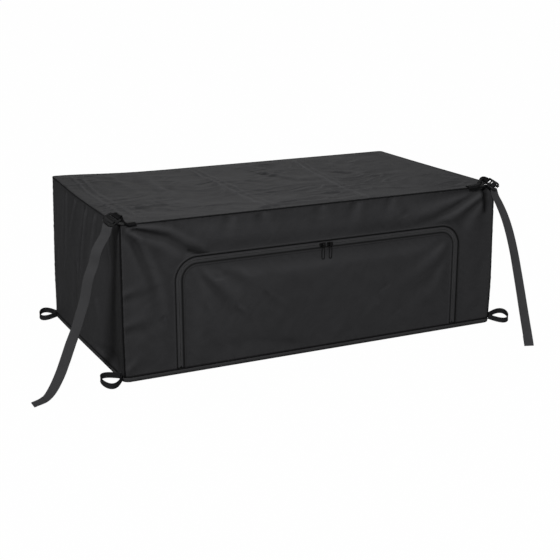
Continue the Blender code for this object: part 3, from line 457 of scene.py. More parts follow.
# %% One maker for the dark finishes
def finish(name, colour, roughness, thread=None, patch=0.25, amount=0.2, bump=0.0002,
           crinkle=0.0, crinkle_size=0.02, dust=0.1, metallic=0.0, sheen=0.0, specular=0.5):
    """A Principled material with uneven shade, dust, and, where thread is given, a weave and the painted
    light and shade of the mesh's marks.
    """
    made = bpy.data.materials.new(name)
    made.use_nodes = True
    tree = made.node_tree
    shader = tree.nodes["Principled BSDF"]
    shader.inputs["Roughness"].default_value = roughness
    shader.inputs["Metallic"].default_value = metallic
    shader.inputs["Sheen Weight"].default_value = sheen
    shader.inputs["Sheen Roughness"].default_value = 0.5
    shader.inputs["Specular IOR Level"].default_value = specular
    place = tree.nodes.new("ShaderNodeTexCoord")
    uneven = tree.nodes.new("ShaderNodeGroup")
    uneven.node_tree = SHADE
    uneven.inputs["Patch Size"].default_value = patch
    uneven.inputs["Amount"].default_value = amount
    tree.links.new(place.outputs["Object"], uneven.inputs["Place"])
    shade = uneven.outputs["Shade"]
    height = None
    if thread:
        cloth_uv = tree.nodes.new("ShaderNodeUVMap")
        cloth_uv.uv_map = "cloth_uv"
        weave = tree.nodes.new("ShaderNodeGroup")
        weave.node_tree = WEAVE
        weave.inputs["Thread"].default_value = thread[0]
        weave.inputs["Thread Along"].default_value = thread[1]
        tree.links.new(cloth_uv.outputs["UV"], weave.inputs["Cloth"])
        shade = math_node(tree, "MULTIPLY", shade, weave.outputs["Shade"])
        marks_uv = tree.nodes.new("ShaderNodeUVMap")
        marks_uv.uv_map = "cloth_marks"
        painted_crests = tree.nodes.new("ShaderNodeGroup")
        painted_crests.node_tree = PAINTED_CREST_SHADE
        painted_crests.inputs["Strength"].default_value = PAINTED_CREST_STRENGTH
        tree.links.new(marks_uv.outputs["UV"], painted_crests.inputs["Marks"])
        shade = math_node(tree, "MULTIPLY", shade, painted_crests.outputs["Shade"])
        height = weave.outputs["Height"]
    tinted = tree.nodes.new("ShaderNodeVectorMath")
    tinted.operation = "SCALE"
    tinted.inputs[0].default_value = colour
    tree.links.new(shade, tinted.inputs["Scale"])
    dusty = tree.nodes.new("ShaderNodeMix")
    dusty.data_type = "RGBA"
    dusty.inputs["B"].default_value = (*(min(1.0, c * 1.6 + 0.03) for c in colour), 1.0)
    tree.links.new(math_node(tree, "MULTIPLY", uneven.outputs["Dust"], dust), dusty.inputs["Factor"])
    tree.links.new(tinted.outputs[0], dusty.inputs["A"])
    tree.links.new(dusty.outputs["Result"], shader.inputs["Base Color"])
    normal = None
    if crinkle:
        crinkles = tree.nodes.new("ShaderNodeTexNoise")
        crinkles.inputs["Scale"].default_value = 1.0 / crinkle_size
        crinkles.inputs["Detail"].default_value = 5.0
        crinkles.inputs["Roughness"].default_value = 0.6
        tree.links.new(place.outputs["Object"], crinkles.inputs["Vector"])
        soft = tree.nodes.new("ShaderNodeBump")
        soft.inputs["Distance"].default_value = crinkle
        soft.inputs["Strength"].default_value = 1.0
        tree.links.new(crinkles.outputs["Fac"], soft.inputs["Height"])
        normal = soft.outputs["Normal"]
    if height:
        threads = tree.nodes.new("ShaderNodeBump")
        threads.inputs["Distance"].default_value = bump
        threads.inputs["Strength"].default_value = 0.6
        tree.links.new(height, threads.inputs["Height"])
        if normal:
            tree.links.new(normal, threads.inputs["Normal"])
        normal = threads.outputs["Normal"]
    if normal:
        tree.links.new(normal, shader.inputs["Normal"])
    return made


# %% The finishes themselves
cloth = finish("coated_cloth", (0.0246, 0.0246, 0.0260), 0.74, (0.0009, 0.0009), 0.22, 0.16, 0.00012,
               crinkle=0.0016, crinkle_size=0.035, dust=0.06, specular=0.14)
piping_cloth = finish("piping", (0.0042, 0.0042, 0.0045), 0.62, (0.0009, 0.0009), 0.1, 0.2, 0.0001,
                      crinkle=0.0004, crinkle_size=0.006, dust=0.02, specular=0.07)
tape_cloth = finish("zip_tape", (0.030, 0.030, 0.0316), 0.75, (0.0007, 0.0022), 0.1, 0.15, 0.00016,
                    dust=0.06, specular=0.2)
# The base band's cloth is a little lighter than the walls': partly its own grey, partly painted light that
# offsets the shade near the floor
band_cloth = finish("base_band_cloth", (0.028, 0.028, 0.0292), 0.72, (0.0009, 0.0009), 0.12, 0.2, 0.00012,
                    crinkle=0.0010, crinkle_size=0.02, dust=0.06, specular=0.16)
coil_plastic = finish("zip_coil", (0.034, 0.034, 0.035), 0.55, patch=0.05, amount=0.2, dust=0.05,
                      specular=0.3)
slider_metal = finish("slider_metal", (0.0022, 0.0022, 0.0024), 0.14, patch=0.01, amount=0.4,
                      crinkle=0.0001, crinkle_size=0.002, dust=0.0, specular=0.30)
strap_webbing = finish("webbing", (0.0275, 0.0275, 0.0290), 0.72, (0.0016, 0.0028), 0.05, 0.2, 0.00035,
                       dust=0.06, specular=0.2)
loop_webbing = finish("loop_webbing", (0.011, 0.011, 0.012), 0.70, (0.0016, 0.0028), 0.04, 0.25, 0.00035,
                      dust=0.06, specular=0.14)
anchor_webbing = finish("anchor_webbing_black", (0.0036, 0.0036, 0.0039), 0.60, (0.0016, 0.0028), 0.03, 0.3,
                        0.00035, dust=0.02, specular=0.08)
lock_plastic = finish("moulded_plastic", (0.0040, 0.0040, 0.0044), 0.13, specular=0.8, patch=0.02,
                      amount=0.25, crinkle=0.00006, crinkle_size=0.0012, dust=0.01)
thread_black = finish("sewing_thread", (0.018, 0.018, 0.019), 0.55, patch=0.02, amount=0.3, dust=0.05)
print("finishes:", len(bpy.data.materials))

# %% Finish the straps
for side, (strap, hem, line) in straps.items():
    for piece in (strap, hem):
        piece.data.materials.append(strap_webbing)
        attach(piece, "lock_left" if side == "left" else "lock_right")
    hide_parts("tie_strap_" + side)

# %% [markdown]
# ## The skin of the bag
# The bag is six cloth panels. Each wall is a formula: a point on the flat wall, moved out by a
# gentle swell, by folds that are pulled from the corners, by puckers along the seams and by a
# crumple of noise. A formula gives the same skin to the panel, its stitches and its zip, which a
# cloth simulation would not, and the folds go where the photograph has them.

# %% Folds: points along the fold, half width, height, and 1 where it is a step instead of a ridge
FOLDS = {
    "front": [
        (((-0.62, 0.474), (-0.50, 0.440), (-0.402, 0.378)), 0.013, 0.0065, 1),
        (((-0.634, 0.471), (-0.600, 0.435), (-0.560, 0.364)), 0.014, 0.0038, 1),
        (((-0.635, 0.463), (-0.527, 0.409), (-0.470, 0.366)), 0.014, 0.0035, 0),
        (((-0.600, 0.440), (-0.545, 0.300), (-0.525, 0.200)), 0.014, 0.0035, 1),
        (((-0.435, 0.349), (-0.404, 0.283), (-0.386, 0.224)), 0.018, 0.0028, 1),
        (((-0.412, 0.340), (-0.334, 0.249), (-0.288, 0.198)), 0.018, 0.0050, 1),
        (((-0.325, 0.320), (-0.273, 0.298), (-0.200, 0.237)), 0.022, 0.0028, 1),
        (((-0.646, 0.266), (-0.562, 0.285)), 0.016, 0.0018, 1),
        (((-0.646, 0.168), (-0.541, 0.189)), 0.018, 0.0022, 1),
        (((-0.300, 0.476), (-0.318, 0.400)), 0.020, 0.0016, 1),
        (((-0.199, 0.477), (-0.179, 0.400)), 0.020, 0.0020, 1),
        (((0.000, 0.477), (0.007, 0.405)), 0.022, 0.0016, 1),
        (((0.134, 0.477), (0.107, 0.400)), 0.020, 0.0022, 1),
        (((0.259, 0.477), (0.239, 0.400)), 0.020, 0.0018, 1),
        (((0.620, 0.470), (0.492, 0.408), (0.386, 0.365)), 0.015, 0.0060, 1),
        (((0.622, 0.457), (0.560, 0.390), (0.530, 0.330)), 0.016, 0.0030, 1),
        (((0.600, 0.470), (0.443, 0.450), (0.330, 0.420)), 0.018, 0.0030, 1),
        (((0.473, 0.315), (0.374, 0.251), (0.268, 0.196)), 0.024, 0.0022, 1),
        (((0.484, 0.252), (0.394, 0.152), (0.318, 0.107)), 0.024, 0.0016, 1),
        (((0.225, 0.140), (0.151, 0.096)), 0.026, 0.0012, 0),
        (((0.612, 0.476), (0.614, 0.398)), 0.010, -0.0100, 0),
        (((-0.640, 0.035), (-0.601, 0.079)), 0.013, 0.0025, 0),
        (((-0.067, 0.040), (-0.242, 0.074), (-0.442, 0.066)), 0.025, -0.0020, 0),
        (((-0.383, 0.366), (-0.438, 0.385)), 0.010, -0.0062, 0),
    ],
    "left": [
        (((-0.190, 0.472), (-0.192, 0.346), (-0.210, 0.250)), 0.016, 0.0060, 1),
        (((-0.074, 0.471), (-0.148, 0.322)), 0.014, 0.0060, 0),
        (((0.037, 0.470), (-0.010, 0.321), (-0.030, 0.200)), 0.015, 0.0070, 1),
        (((0.142, 0.468), (0.074, 0.302)), 0.014, 0.0060, 0),
        (((0.243, 0.470), (0.228, 0.221)), 0.013, 0.0060, 0),
        (((-0.285, 0.255), (-0.277, 0.042)), 0.022, 0.0040, 0),
        (((-0.064, 0.275), (-0.059, 0.037)), 0.024, 0.0040, 1),
        (((0.120, 0.200), (0.150, 0.060)), 0.024, 0.0035, 0),
    ],
    "right": [
        (((-0.330, 0.470), (-0.250, 0.330), (-0.220, 0.220)), 0.014, 0.0060, 1),
        (((-0.240, 0.470), (-0.160, 0.300)), 0.015, 0.0055, 0),
        (((-0.080, 0.470), (-0.060, 0.330)), 0.016, 0.0050, 0),
        (((0.060, 0.470), (0.080, 0.300)), 0.016, 0.0050, 1),
        (((0.210, 0.468), (0.180, 0.200)), 0.018, 0.0055, 0),
        (((0.300, 0.300), (0.280, 0.080)), 0.022, 0.0040, 0),
        (((-0.120, 0.220), (-0.080, 0.060)), 0.024, 0.0040, 1),
    ],
    "back": [
        (((-0.560, 0.470), (-0.470, 0.350), (-0.400, 0.200)), 0.020, 0.0055, 1),
        (((-0.320, 0.470), (-0.300, 0.360)), 0.018, 0.0045, 0),
        (((-0.050, 0.472), (-0.020, 0.330), (0.030, 0.150)), 0.022, 0.0050, 0),
        (((0.180, 0.470), (0.160, 0.380)), 0.018, 0.0045, 1),
        (((0.380, 0.470), (0.400, 0.330), (0.430, 0.220)), 0.020, 0.0055, 0),
        (((0.590, 0.460), (0.520, 0.340)), 0.016, 0.0055, 1),
        (((-0.250, 0.180), (-0.150, 0.080)), 0.026, 0.0040, 0),
        (((0.200, 0.200), (0.300, 0.100)), 0.026, 0.0040, 1),
    ],
    "top": [
        (((-0.163, 0.345), (-0.153, -0.033), (-0.154, -0.350)), 0.0055, 0.0042, 0),
        (((-0.135, 0.345), (-0.125, -0.033), (-0.118, -0.350)), 0.0055, 0.0026, 0),
        (((0.256, 0.355), (0.223, 0.091), (0.197, -0.167), (0.185, -0.350)), 0.0055, 0.0042, 0),
        (((0.282, 0.355), (0.250, 0.091), (0.222, -0.167)), 0.0055, 0.0024, 0),
        (((-0.595, 0.330), (-0.605, -0.083), (-0.593, -0.300)), 0.0050, 0.0032, 0),
        (((-0.570, 0.300), (-0.575, -0.083), (-0.565, -0.300)), 0.0050, 0.0024, 0),
        (((0.048, 0.217), (0.132, 0.035), (0.233, 0.005)), 0.020, 0.0028, 1),
        (((-0.354, 0.028), (-0.328, 0.277)), 0.024, 0.0026, 1),
        (((0.426, 0.207), (0.520, 0.253)), 0.018, 0.0030, 0),
        (((0.380, -0.020), (0.516, -0.010)), 0.016, 0.0028, 0),
        (((-0.200, -0.338), (-0.100, -0.312), (0.090, -0.330)), 0.010, 0.0050, 0),
        (((-0.120, -0.285), (0.020, -0.262), (0.150, -0.290)), 0.011, 0.0040, 0),
        (((-0.340, -0.240), (-0.220, -0.215), (-0.150, -0.235)), 0.010, 0.0038, 0),
        (((0.100, -0.200), (0.200, -0.225), (0.330, -0.205)), 0.012, 0.0036, 0),
        (((-0.560, -0.180), (-0.470, -0.150), (-0.380, -0.165)), 0.012, 0.0030, 0),
        (((0.020, -0.120), (0.110, -0.090), (0.190, -0.110)), 0.014, 0.0030, 0),
        (((-0.464, 0.303), (-0.438, -0.034)), 0.020, 0.0028, 0),
        (((-0.060, 0.100), (0.020, 0.060), (0.110, 0.110)), 0.014, 0.0030, 0),
        (((0.300, 0.120), (0.360, 0.060), (0.340, -0.060)), 0.020, 0.0028, 1),
        (((0.330, -0.220), (0.440, -0.260)), 0.014, 0.0026, 0),
    ],
}
print("folds:", sum(len(v) for v in FOLDS.values()))


# %% Height of the folds over a panel
def fold_field(folds, a, b):
    """How far the folds lift the cloth, fading in and out along each."""
    lift = np.zeros_like(a)
    for points, width, height, step in folds:
        points = np.array(points)
        total = along_line(points)
        best = np.full_like(a, 1e9)
        aside = np.zeros_like(a)
        share = np.zeros_like(a)
        for k in range(len(points) - 1):
            run = points[k + 1] - points[k]
            length = np.hypot(*run)
            t = np.clip(((a - points[k][0]) * run[0] + (b - points[k][1]) * run[1]) / length**2, 0, 1)
            da, db = a - points[k][0] - t * run[0], b - points[k][1] - t * run[1]
            away = np.hypot(da, db)
            nearer = away < best
            best = np.where(nearer, away, best)
            aside = np.where(nearer, np.sign(run[0] * db - run[1] * da) * away, aside)
            share = np.where(nearer, (total[k] + t * length) / total[-1], share)
        spread = width * (0.65 + 0.75 * share)
        fade = smooth(share / 0.12 + 0.35) * (1 - 0.75 * share**1.5)
        if step:
            shape = aside / spread * np.exp(0.5 - 0.5 * (aside / spread) ** 2)
            lift += height * shape * np.exp(-0.15 * (best / spread) ** 2) * fade
        else:
            lift += height * np.exp(-((best / spread) ** 1.6)) * fade
    return lift


# %% Depth of the sharp pleats
SHARP_PLEAT = -0.006


def pleat_dark(folds, a, b):
    """1, and less in the sharp pleats, which little light reaches."""
    shade = np.ones_like(a)
    for points, width, height, _ in folds:
        if height > SHARP_PLEAT:
            continue
        (a0, b0), (a1, b1) = points[0], points[-1]
        run = (a1 - a0) ** 2 + (b1 - b0) ** 2
        t = np.clip(((a - a0) * (a1 - a0) + (b - b0) * (b1 - b0)) / run, 0, 1)
        away = np.hypot(a - a0 - t * (a1 - a0), b - b0 - t * (b1 - b0))
        shade *= 1 - 0.9 * np.exp(-((away / (width * (1.05 - 0.55 * t))) ** 2))
    return shade


# %% Crumple of the whole cloth
def crumple(a, b, size, seed, ridged=False):
    """Smooth noise over the cloth, from -1 to 1, with sharper crests where ridged."""
    flat = np.array([noise.noise(Vector((x, y, seed))) for x, y in zip(a.ravel() / size, b.ravel() / size)])
    flat = flat.reshape(a.shape) * 1.6
    return 1 - 2 * np.abs(flat) if ridged else flat


def cloth_noise(a, b, seed):
    """Slack, soft wrinkles and a fine crumple, in metres."""
    warp = crumple(a, b, 0.14, seed + 9) * 0.05
    slack = crumple(a, b, 0.26, seed) * 0.0030
    soft = crumple(a + warp, b - warp, 0.085, seed + 3) * 0.0010
    fine = crumple(a - warp, b + warp, 0.050, seed + 5, ridged=True) * 0.0003
    return slack + soft + fine


def crest_of(lift, reach=4, full=0.0016):
    """1 on the cloth's crests and -1 in its hollows, by how far it stands out of its surroundings."""
    rise = np.zeros_like(lift)
    for axis in (0, 1):
        places = np.arange(lift.shape[axis])
        for step in (-reach, reach):
            rise += lift - np.take(lift, np.clip(places + step, 0, lift.shape[axis] - 1), axis=axis)
    return np.clip(rise / 4 / full, -1, 1)


def puckers(away, run, seed):
    """Small gathers that the stitches pull into the cloth beside a seam."""
    wave = crumple(run, run * 0, 0.011, seed)
    return 0.0011 * wave * np.exp(-away / 0.016) * smooth(away / 0.004)


# %% [markdown]
# ### Walls
# The wall runs straight to its corners and then round half of each corner, whose radius opens
# from 12 mm at the top to 24 mm at the base, as the cloth rounds out round its load.

# %% A wall's skin
# Its run, its way out, half its length, its distance from the middle, and its own noise seed.
SIDES = {
    "front": ((1, 0, 0), (0, -1, 0), HALF_LENGTH, HALF_DEPTH, 1.0),
    "right": ((0, 1, 0), (1, 0, 0), HALF_DEPTH, HALF_LENGTH, 21.0),
    "back": ((-1, 0, 0), (0, 1, 0), HALF_LENGTH, HALF_DEPTH, 41.0),
    "left": ((0, -1, 0), (-1, 0, 0), HALF_DEPTH, HALF_LENGTH, 61.0),
}
SLACK_SHARE = {"front": 1.0, "right": 0.5, "back": 1.0, "left": 0.5}
FOLD_SHARE = {"front": 1.3, "right": 1.3, "back": 1.3, "left": 0.85}
SWELL, LEFT_TUCK = 0.007, 0.020


def corner_radius(z):
    """The upright corners' radius at a height."""
    return BASE_CORNER_R + (TOP_CORNER_R - BASE_CORNER_R) * smooth(z / CORNER_BLEND)


def zip_distance(x, z):
    """How far a point of the front is from the line of the zip."""
    out_x = np.abs(x - (DOOR_LEFT + DOOR_RIGHT) / 2) - (DOOR_RIGHT - DOOR_LEFT) / 2
    out_z = z - DOOR_TOP
    past_x, past_z = out_x + DOOR_CORNER_R, out_z + DOOR_CORNER_R
    corner = np.abs(np.hypot(past_x, past_z) - DOOR_CORNER_R)
    straight = np.abs(np.maximum(out_x, out_z))
    return np.where((past_x > 0) & (past_z > 0), corner, straight)


def relief(side, along, z):
    """How far a wall's cloth stands out of its flat."""
    half, seed = SIDES[side][2], SIDES[side][4]
    height = (z - BASE_SEAM_Z) / (SEAM_Z - BASE_SEAM_Z)
    to_end, to_top, to_foot = half - np.abs(along), SEAM_Z - z, z - BASE_SEAM_Z
    held = smooth(to_end / 0.06) * smooth(to_top / 0.05) * smooth(to_foot / 0.05)
    tight = smooth((to_end + 0.004) / 0.022) * smooth(to_top / 0.014) * smooth(to_foot / 0.014)
    out = SWELL * np.sin(pi * np.clip(height, 0, 1)) * (1 - (along / half) ** 2) * held
    slack = cloth_noise(along, z, seed) * held * SLACK_SHARE[side]
    folds = fold_field(FOLDS[side], along, z) * tight * FOLD_SHARE[side]
    gathers = puckers(to_top, along, seed + 11) + puckers(to_foot, along, seed + 13) * 0.7
    gathers += puckers(np.maximum(to_end, 0), z, seed + 15) * 0.8
    if side == "left":
        from_front = half - along
        tuck = smooth(from_front / 0.13) * (1 - smooth((from_front - 0.13) / 0.17))
        out = out - LEFT_TUCK * tuck * smooth(to_top / 0.18) * smooth(to_foot / 0.03)
    if side == "front":
        away = zip_distance(along, z)
        inside = (z < DOOR_TOP) & (along > DOOR_LEFT) & (along < DOOR_RIGHT)
        free = smooth((away - 0.022) / 0.050)
        under_pull = inside & (DOOR_TOP - z < 0.065) & (along > -0.42) & (along < 0.46)
        folds = folds * np.where(inside, free, smooth((away - 0.018) / 0.022))
        folds = np.where(under_pull, np.clip(folds, -0.004, 0.0012), folds)
        out = out * free
        slack = slack * free
        gathers += puckers(np.maximum(away - 0.023, 0), along + z, seed + 17) * 0.9
        gathers = gathers * smooth((away - 0.021) / 0.005)
    return out + slack + folds + gathers


def wall_skin(side, columns, z):
    """Points and cloth coordinates of a wall. A column past 1 is on the half corner."""
    run, out, half, distance, _ = SIDES[side]
    run, out = np.array(run, float), np.array(out, float)
    radius = corner_radius(z)
    turn = radians(45) * np.maximum(0.0, np.abs(columns) - 1)
    sign = np.sign(columns)
    along = sign * (np.minimum(1.0, np.abs(columns)) * (half - radius) + radius * np.sin(turn))
    away = distance - radius + radius * np.cos(turn)
    lift = relief(side, along, z)
    points = run * along[..., None] + out * away[..., None] + np.array((0, 0, 1.0)) * z[..., None]
    outwards = out * np.cos(turn)[..., None] + run * (sign * np.sin(turn))[..., None]
    points = points + outwards * lift[..., None]
    cloth_along = along + sign * radius * (turn - np.sin(turn))
    return points, np.stack([cloth_along, z], axis=-1)


# %% Cut the panels
def solid_cloth(made, thickness=CLOTH):
    """Gives a skin the cloth's thickness, inwards."""
    wall = made.modifiers.new("wall", "SOLIDIFY")
    wall.thickness = thickness
    wall.offset = -1
    wall.use_quality_normals = True
    return made


def settled(made):
    """The object with its modifiers turned into plain mesh."""
    bpy.context.view_layer.update()
    mesh = bpy.data.meshes.new_from_object(made.evaluated_get(bpy.context.evaluated_depsgraph_get()))
    made.modifiers.clear()
    made.data = mesh
    return made


def wall_panel(side, name, step=0.0048):
    """One wall from seam to seam, as cloth with a thickness."""
    run, half = np.array(SIDES[side][0], float), SIDES[side][2]
    flat = np.linspace(-1, 1, int(2 * half / step))
    bend = np.linspace(1, 2, 8)[1:]
    columns = np.concatenate([-bend[::-1], flat, bend])
    heights = np.linspace(BASE_SEAM_Z, SEAM_Z, int((SEAM_Z - BASE_SEAM_Z) / step))
    columns, z = np.meshgrid(columns, heights)
    points, uv = wall_skin(side, columns, z)
    along = points @ run
    lift = relief(side, along, z)
    past_end = half - np.abs(along)
    edge = np.minimum(np.minimum(SEAM_Z - z, z - BASE_SEAM_Z), np.maximum(past_end, 0) + 0.002)
    # Painted shade: the cloth is drawn darker towards its seams and corners and in its sharp pleats, and
    # crest_of gives its painted crest light and hollow shade
    seam = (0.45 + 0.55 * smooth(edge / 0.007)) * pleat_dark(FOLDS[side], along, z)
    # Painted shadow of the hanging left strap: a strip of the left wall by its front corner, widening
    # downwards, is drawn darker
    if side == "left":
        wide = 0.10 + 0.07 * (1 - z / SEAM_Z)
        painted_strap_shadow = 1 - smooth((half - along - wide + 0.02) / 0.04)
        seam = seam * (1 - 0.45 * painted_strap_shadow * smooth((SEAM_Z - z) / 0.10))
    made = row_mesh(name, points, uv, crest=crest_of(lift), seam=seam)
    made.data.materials.append(cloth)
    return solid_cloth(made)


walls = {name: wall_panel(side, name + "_cloth") for side, name in
         (("back", "back_panel"), ("left", "left_side_panel"), ("right", "right_side_panel"))}
for name, wall in walls.items():
    settled(wall)
    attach(wall, "bag")
    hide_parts(name)
    print(wall.name, len(wall.data.polygons), "faces")

# %% [markdown]
# ### Front and door
# The front is one wall with a door cut out of it. Both are made from the same skin, and a prism
# that follows the zip cuts the door's opening out of one copy and the door out of the other.
# The cloth's edges are turned under beside the zip, so a rounded hem runs along each.

# %% The zip's line
def zip_line(offset, low, spacing=0.006):
    """The zip's way round the door as (x, z), offset outwards, up from the left foot."""
    radius = DOOR_CORNER_R + offset
    left, right = DOOR_LEFT - offset, DOOR_RIGHT + offset
    turn_z = DOOR_TOP - DOOR_CORNER_R
    up = np.linspace(low, turn_z, int(turn_z / spacing))[:-1]
    arc = np.radians(np.linspace(180, 90, 16))
    count = int((DOOR_RIGHT - DOOR_LEFT) / spacing)
    across = np.linspace(left + radius, right - radius, count)[1:-1]
    points = [(left, z) for z in up]
    points += [(left + radius + radius * cos(t), turn_z + radius * sin(t)) for t in arc]
    points += [(x, DOOR_TOP + offset) for x in across]
    points += [(right - radius - radius * cos(t), turn_z + radius * sin(t)) for t in arc[::-1]]
    points += [(right, z) for z in up[::-1]]
    return np.array(points)


def door_prism(name, offset):
    """A solid in the shape of the door, pushed through the front."""
    outline = zip_line(offset, -0.02, 0.02)
    shape = bmesh.new()
    ring = [shape.verts.new((x, FRONT_Y - 0.04, z)) for x, z in outline]
    pushed = bmesh.ops.extrude_face_region(shape, geom=[shape.faces.new(ring)])
    moved = [v for v in pushed["geom"] if isinstance(v, bmesh.types.BMVert)]
    bmesh.ops.translate(shape, verts=moved, vec=(0, 0.08, 0))
    bmesh.ops.recalc_face_normals(shape, faces=shape.faces)
    mesh = bpy.data.meshes.new(name)
    shape.to_mesh(mesh)
    shape.free()
    made = bpy.data.objects.new(name, mesh)
    bpy.context.scene.collection.objects.link(made)
    return made


# %% Cut the front and the door
def trimmed(made, cutter, operation):
    """Cuts a panel with a prism, which is then removed."""
    step = made.modifiers.new("trim", "BOOLEAN")
    step.operation = operation
    step.object = cutter
    step.solver = "EXACT"
    settled(made)
    bpy.data.objects.remove(cutter)
    return made


front = trimmed(wall_panel("front", "front_panel_cloth"), door_prism("door_hole", ZIP_GAP / 2), "DIFFERENCE")
door = trimmed(wall_panel("front", "door_panel_cloth"), door_prism("door_shape", -ZIP_GAP / 2), "INTERSECT")
print("front", len(front.data.polygons), "door", len(door.data.polygons))


# %% Hems beside the zip
def front_skin(x, z, out):
    """Points on the front's cloth at x and z, moved out of it."""
    return np.stack([x, FRONT_Y - relief("front", x, z) - out, z], axis=-1)


# Across a hem, from the zip's side: how far from its edge, and how far out of the cloth. Then the
# painted shade on each of these places, darkest at the turned edge, on the front's hem (1) and on the door's
# (-1).
HEM_PROFILE = [(0.0000, -0.0014), (-0.0004, -0.0004), (0.0001, 0.0004), (0.0016, 0.0008),
               (0.0050, 0.0007), (0.0066, 0.0003), (0.0072, -0.0006)]
HEM_SHADE = {1: (0.12, 0.12, 0.12, 0.3, 0.95, 1.0, 1.0), -1: (0.2, 0.25, 0.35, 0.7, 1.0, 1.0, 1.0)}
FOLDED_THICK = 0.0008


def facing_front(made):
    """Turns the faces of an open skin on the front away from the bag."""
    shape = bmesh.new()
    shape.from_mesh(made.data)
    shape.normal_update()
    if sum(f.normal.y for f in shape.faces) > 0:
        bmesh.ops.reverse_faces(shape, faces=shape.faces)
    shape.to_mesh(made.data)
    shape.free()
    return made


def zip_hem(name, sign):
    """A rounded, turned-under edge that follows the zip. sign is 1 for the front, -1 for the door."""
    rows, uv = [], []
    for offset, out in HEM_PROFILE:
        line = zip_line(sign * (ZIP_GAP / 2 + offset), BASE_SEAM_Z + 0.0005)
        skin = front_skin(line[:, 0], line[:, 1], out)
        rows.append(skin)
        uv.append(np.stack([along_line(skin), np.full(len(skin), offset)], axis=-1))
    made = row_mesh(name, np.stack(rows, axis=1), np.stack(uv, axis=1), seam=np.array(HEM_SHADE[sign]))
    made.data.materials.append(cloth)
    return settled(solid_cloth(facing_front(made), FOLDED_THICK))


for panel, sign, node in ((front, 1, "front_panel"), (door, -1, "door_panel")):
    hem = zip_hem(panel.name + "_hem", sign)
    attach(panel, "bag")
    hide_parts(node)
    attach(hem, "bag")

# %% [markdown]
# ### Top
# The top sags a little between its seams. It was folded flat when it was packed, so two pairs
# of sharp creases run from the front to the back, and a third pair lies beside the left edge.

# %% The top's skin
TOP_CREASES = 6
TOP_INSET = 0.001


def top_height(x, y):
    """Height of the top's cloth."""
    to_x, to_y = HALF_LENGTH - np.abs(x), HALF_DEPTH - np.abs(y)
    held = smooth(to_x / 0.06) * smooth(to_y / 0.06)
    tight = smooth(to_x / 0.014) * smooth(to_y / 0.014)
    sag = -0.008 * (1 - (x / HALF_LENGTH) ** 2) * (1 - (y / HALF_DEPTH) ** 2)
    folds = fold_field(FOLDS["top"], x, y) * tight * 1.3
    gathers = puckers(to_y, x, 93.0) + puckers(to_x, y, 95.0)
    shift = crumple(x, y, 0.16, 71.0) * 0.03
    wrinkles = np.maximum(0, crumple(x / 3.2 + shift, y + shift, 0.046, 73.0, ridged=True) - 0.50) * 0.0052
    wrinkles = wrinkles * smooth(crumple(x, y, 0.24, 75.0) * 1.1 + 0.45) * tight
    return SEAM_Z + 0.0010 + sag * held + cloth_noise(x, y, 81.0) * held * 1.5 + folds + gathers + wrinkles


def rounded_grid(half_x, half_y, radius, step):
    """A grid over a rectangle whose corner points are drawn in to a radius."""
    x, y = np.meshgrid(np.linspace(-half_x, half_x, int(2 * half_x / step)),
                       np.linspace(-half_y, half_y, int(2 * half_y / step)))
    past_x, past_y = np.abs(x) - (half_x - radius), np.abs(y) - (half_y - radius)
    corner = (past_x > 0) & (past_y > 0)
    reach = np.maximum(past_x, past_y)
    length = np.hypot(past_x, past_y)
    share = np.where(corner, reach / np.where(length == 0, 1, length), 1)
    x = np.sign(x) * np.where(corner, half_x - radius + past_x * share, np.abs(x))
    y = np.sign(y) * np.where(corner, half_y - radius + past_y * share, np.abs(y))
    return x, y


x, y = rounded_grid(HALF_LENGTH - TOP_INSET, HALF_DEPTH - TOP_INSET, TOP_CORNER_R - TOP_INSET, 0.0052)
z = top_height(x, y)
edge = np.minimum(HALF_LENGTH - np.abs(x), HALF_DEPTH - np.abs(y))
# Painted highlights: the top's sharp creases are drawn lighter, on top of the painted crest light and hollow
# shade
creases = np.clip(fold_field(FOLDS["top"][:TOP_CREASES], x, y) / 0.0030, 0, 1)
# Painted light and shade: the top is drawn a little lighter towards its right and its front, and darker at
# its edges beside the seams.
painted_light_gradient = 0.92 + 0.13 * x / HALF_LENGTH - 0.12 * y / HALF_DEPTH
top = row_mesh("top_panel_cloth", np.stack([x, y, z], axis=-1), np.stack([x, y], axis=-1),
               crest=crest_of(z, full=0.0012) + 2.0 * creases,
               seam=(0.5 + 0.5 * smooth((edge - 0.001) / 0.005)) * painted_light_gradient)
top.data.materials.append(cloth)
settled(solid_cloth(top))
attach(top, "bag")
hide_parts("top_panel")
print("top", len(top.data.polygons), "faces")

# %% [markdown]
# ### Base
# The base is a floor whose edge is rolled up a little, with a low band sewn round it that ends in
# the lowest seam. Both are made of rings in the bag's plan, one above or inside another.

# %% Rings in the bag's plan
def plan_ring(inset, radius, count=28):
    """The bag's plan as a ring, drawn in by inset, anticlockwise from the right front."""
    half_x, half_y = HALF_LENGTH - inset, HALF_DEPTH - inset
    radius = max(radius - inset, 0.0005)
    points = []
    for sign_x, sign_y, start in ((1, -1, -90), (1, 1, 0), (-1, 1, 90), (-1, -1, 180)):
        for turn in np.radians(np.linspace(start, start + 90, count)):
            points.append((sign_x * (half_x - radius) + radius * cos(turn),
                           sign_y * (half_y - radius) + radius * sin(turn)))
    return np.array(points)


def even_ring(inset, z, radius=BASE_CORNER_R, count=1100):
    """count evenly spaced points round the plan, at a height."""
    ring = plan_ring(inset, radius)
    closed = np.vstack([ring, ring[:1]])
    run = along_line(closed)
    want = np.linspace(0, run[-1], count + 1)[:-1]
    flat = np.stack([np.interp(want, run, closed[:, k]) for k in range(2)], axis=1)
    return np.column_stack([flat, np.full(count, z)])


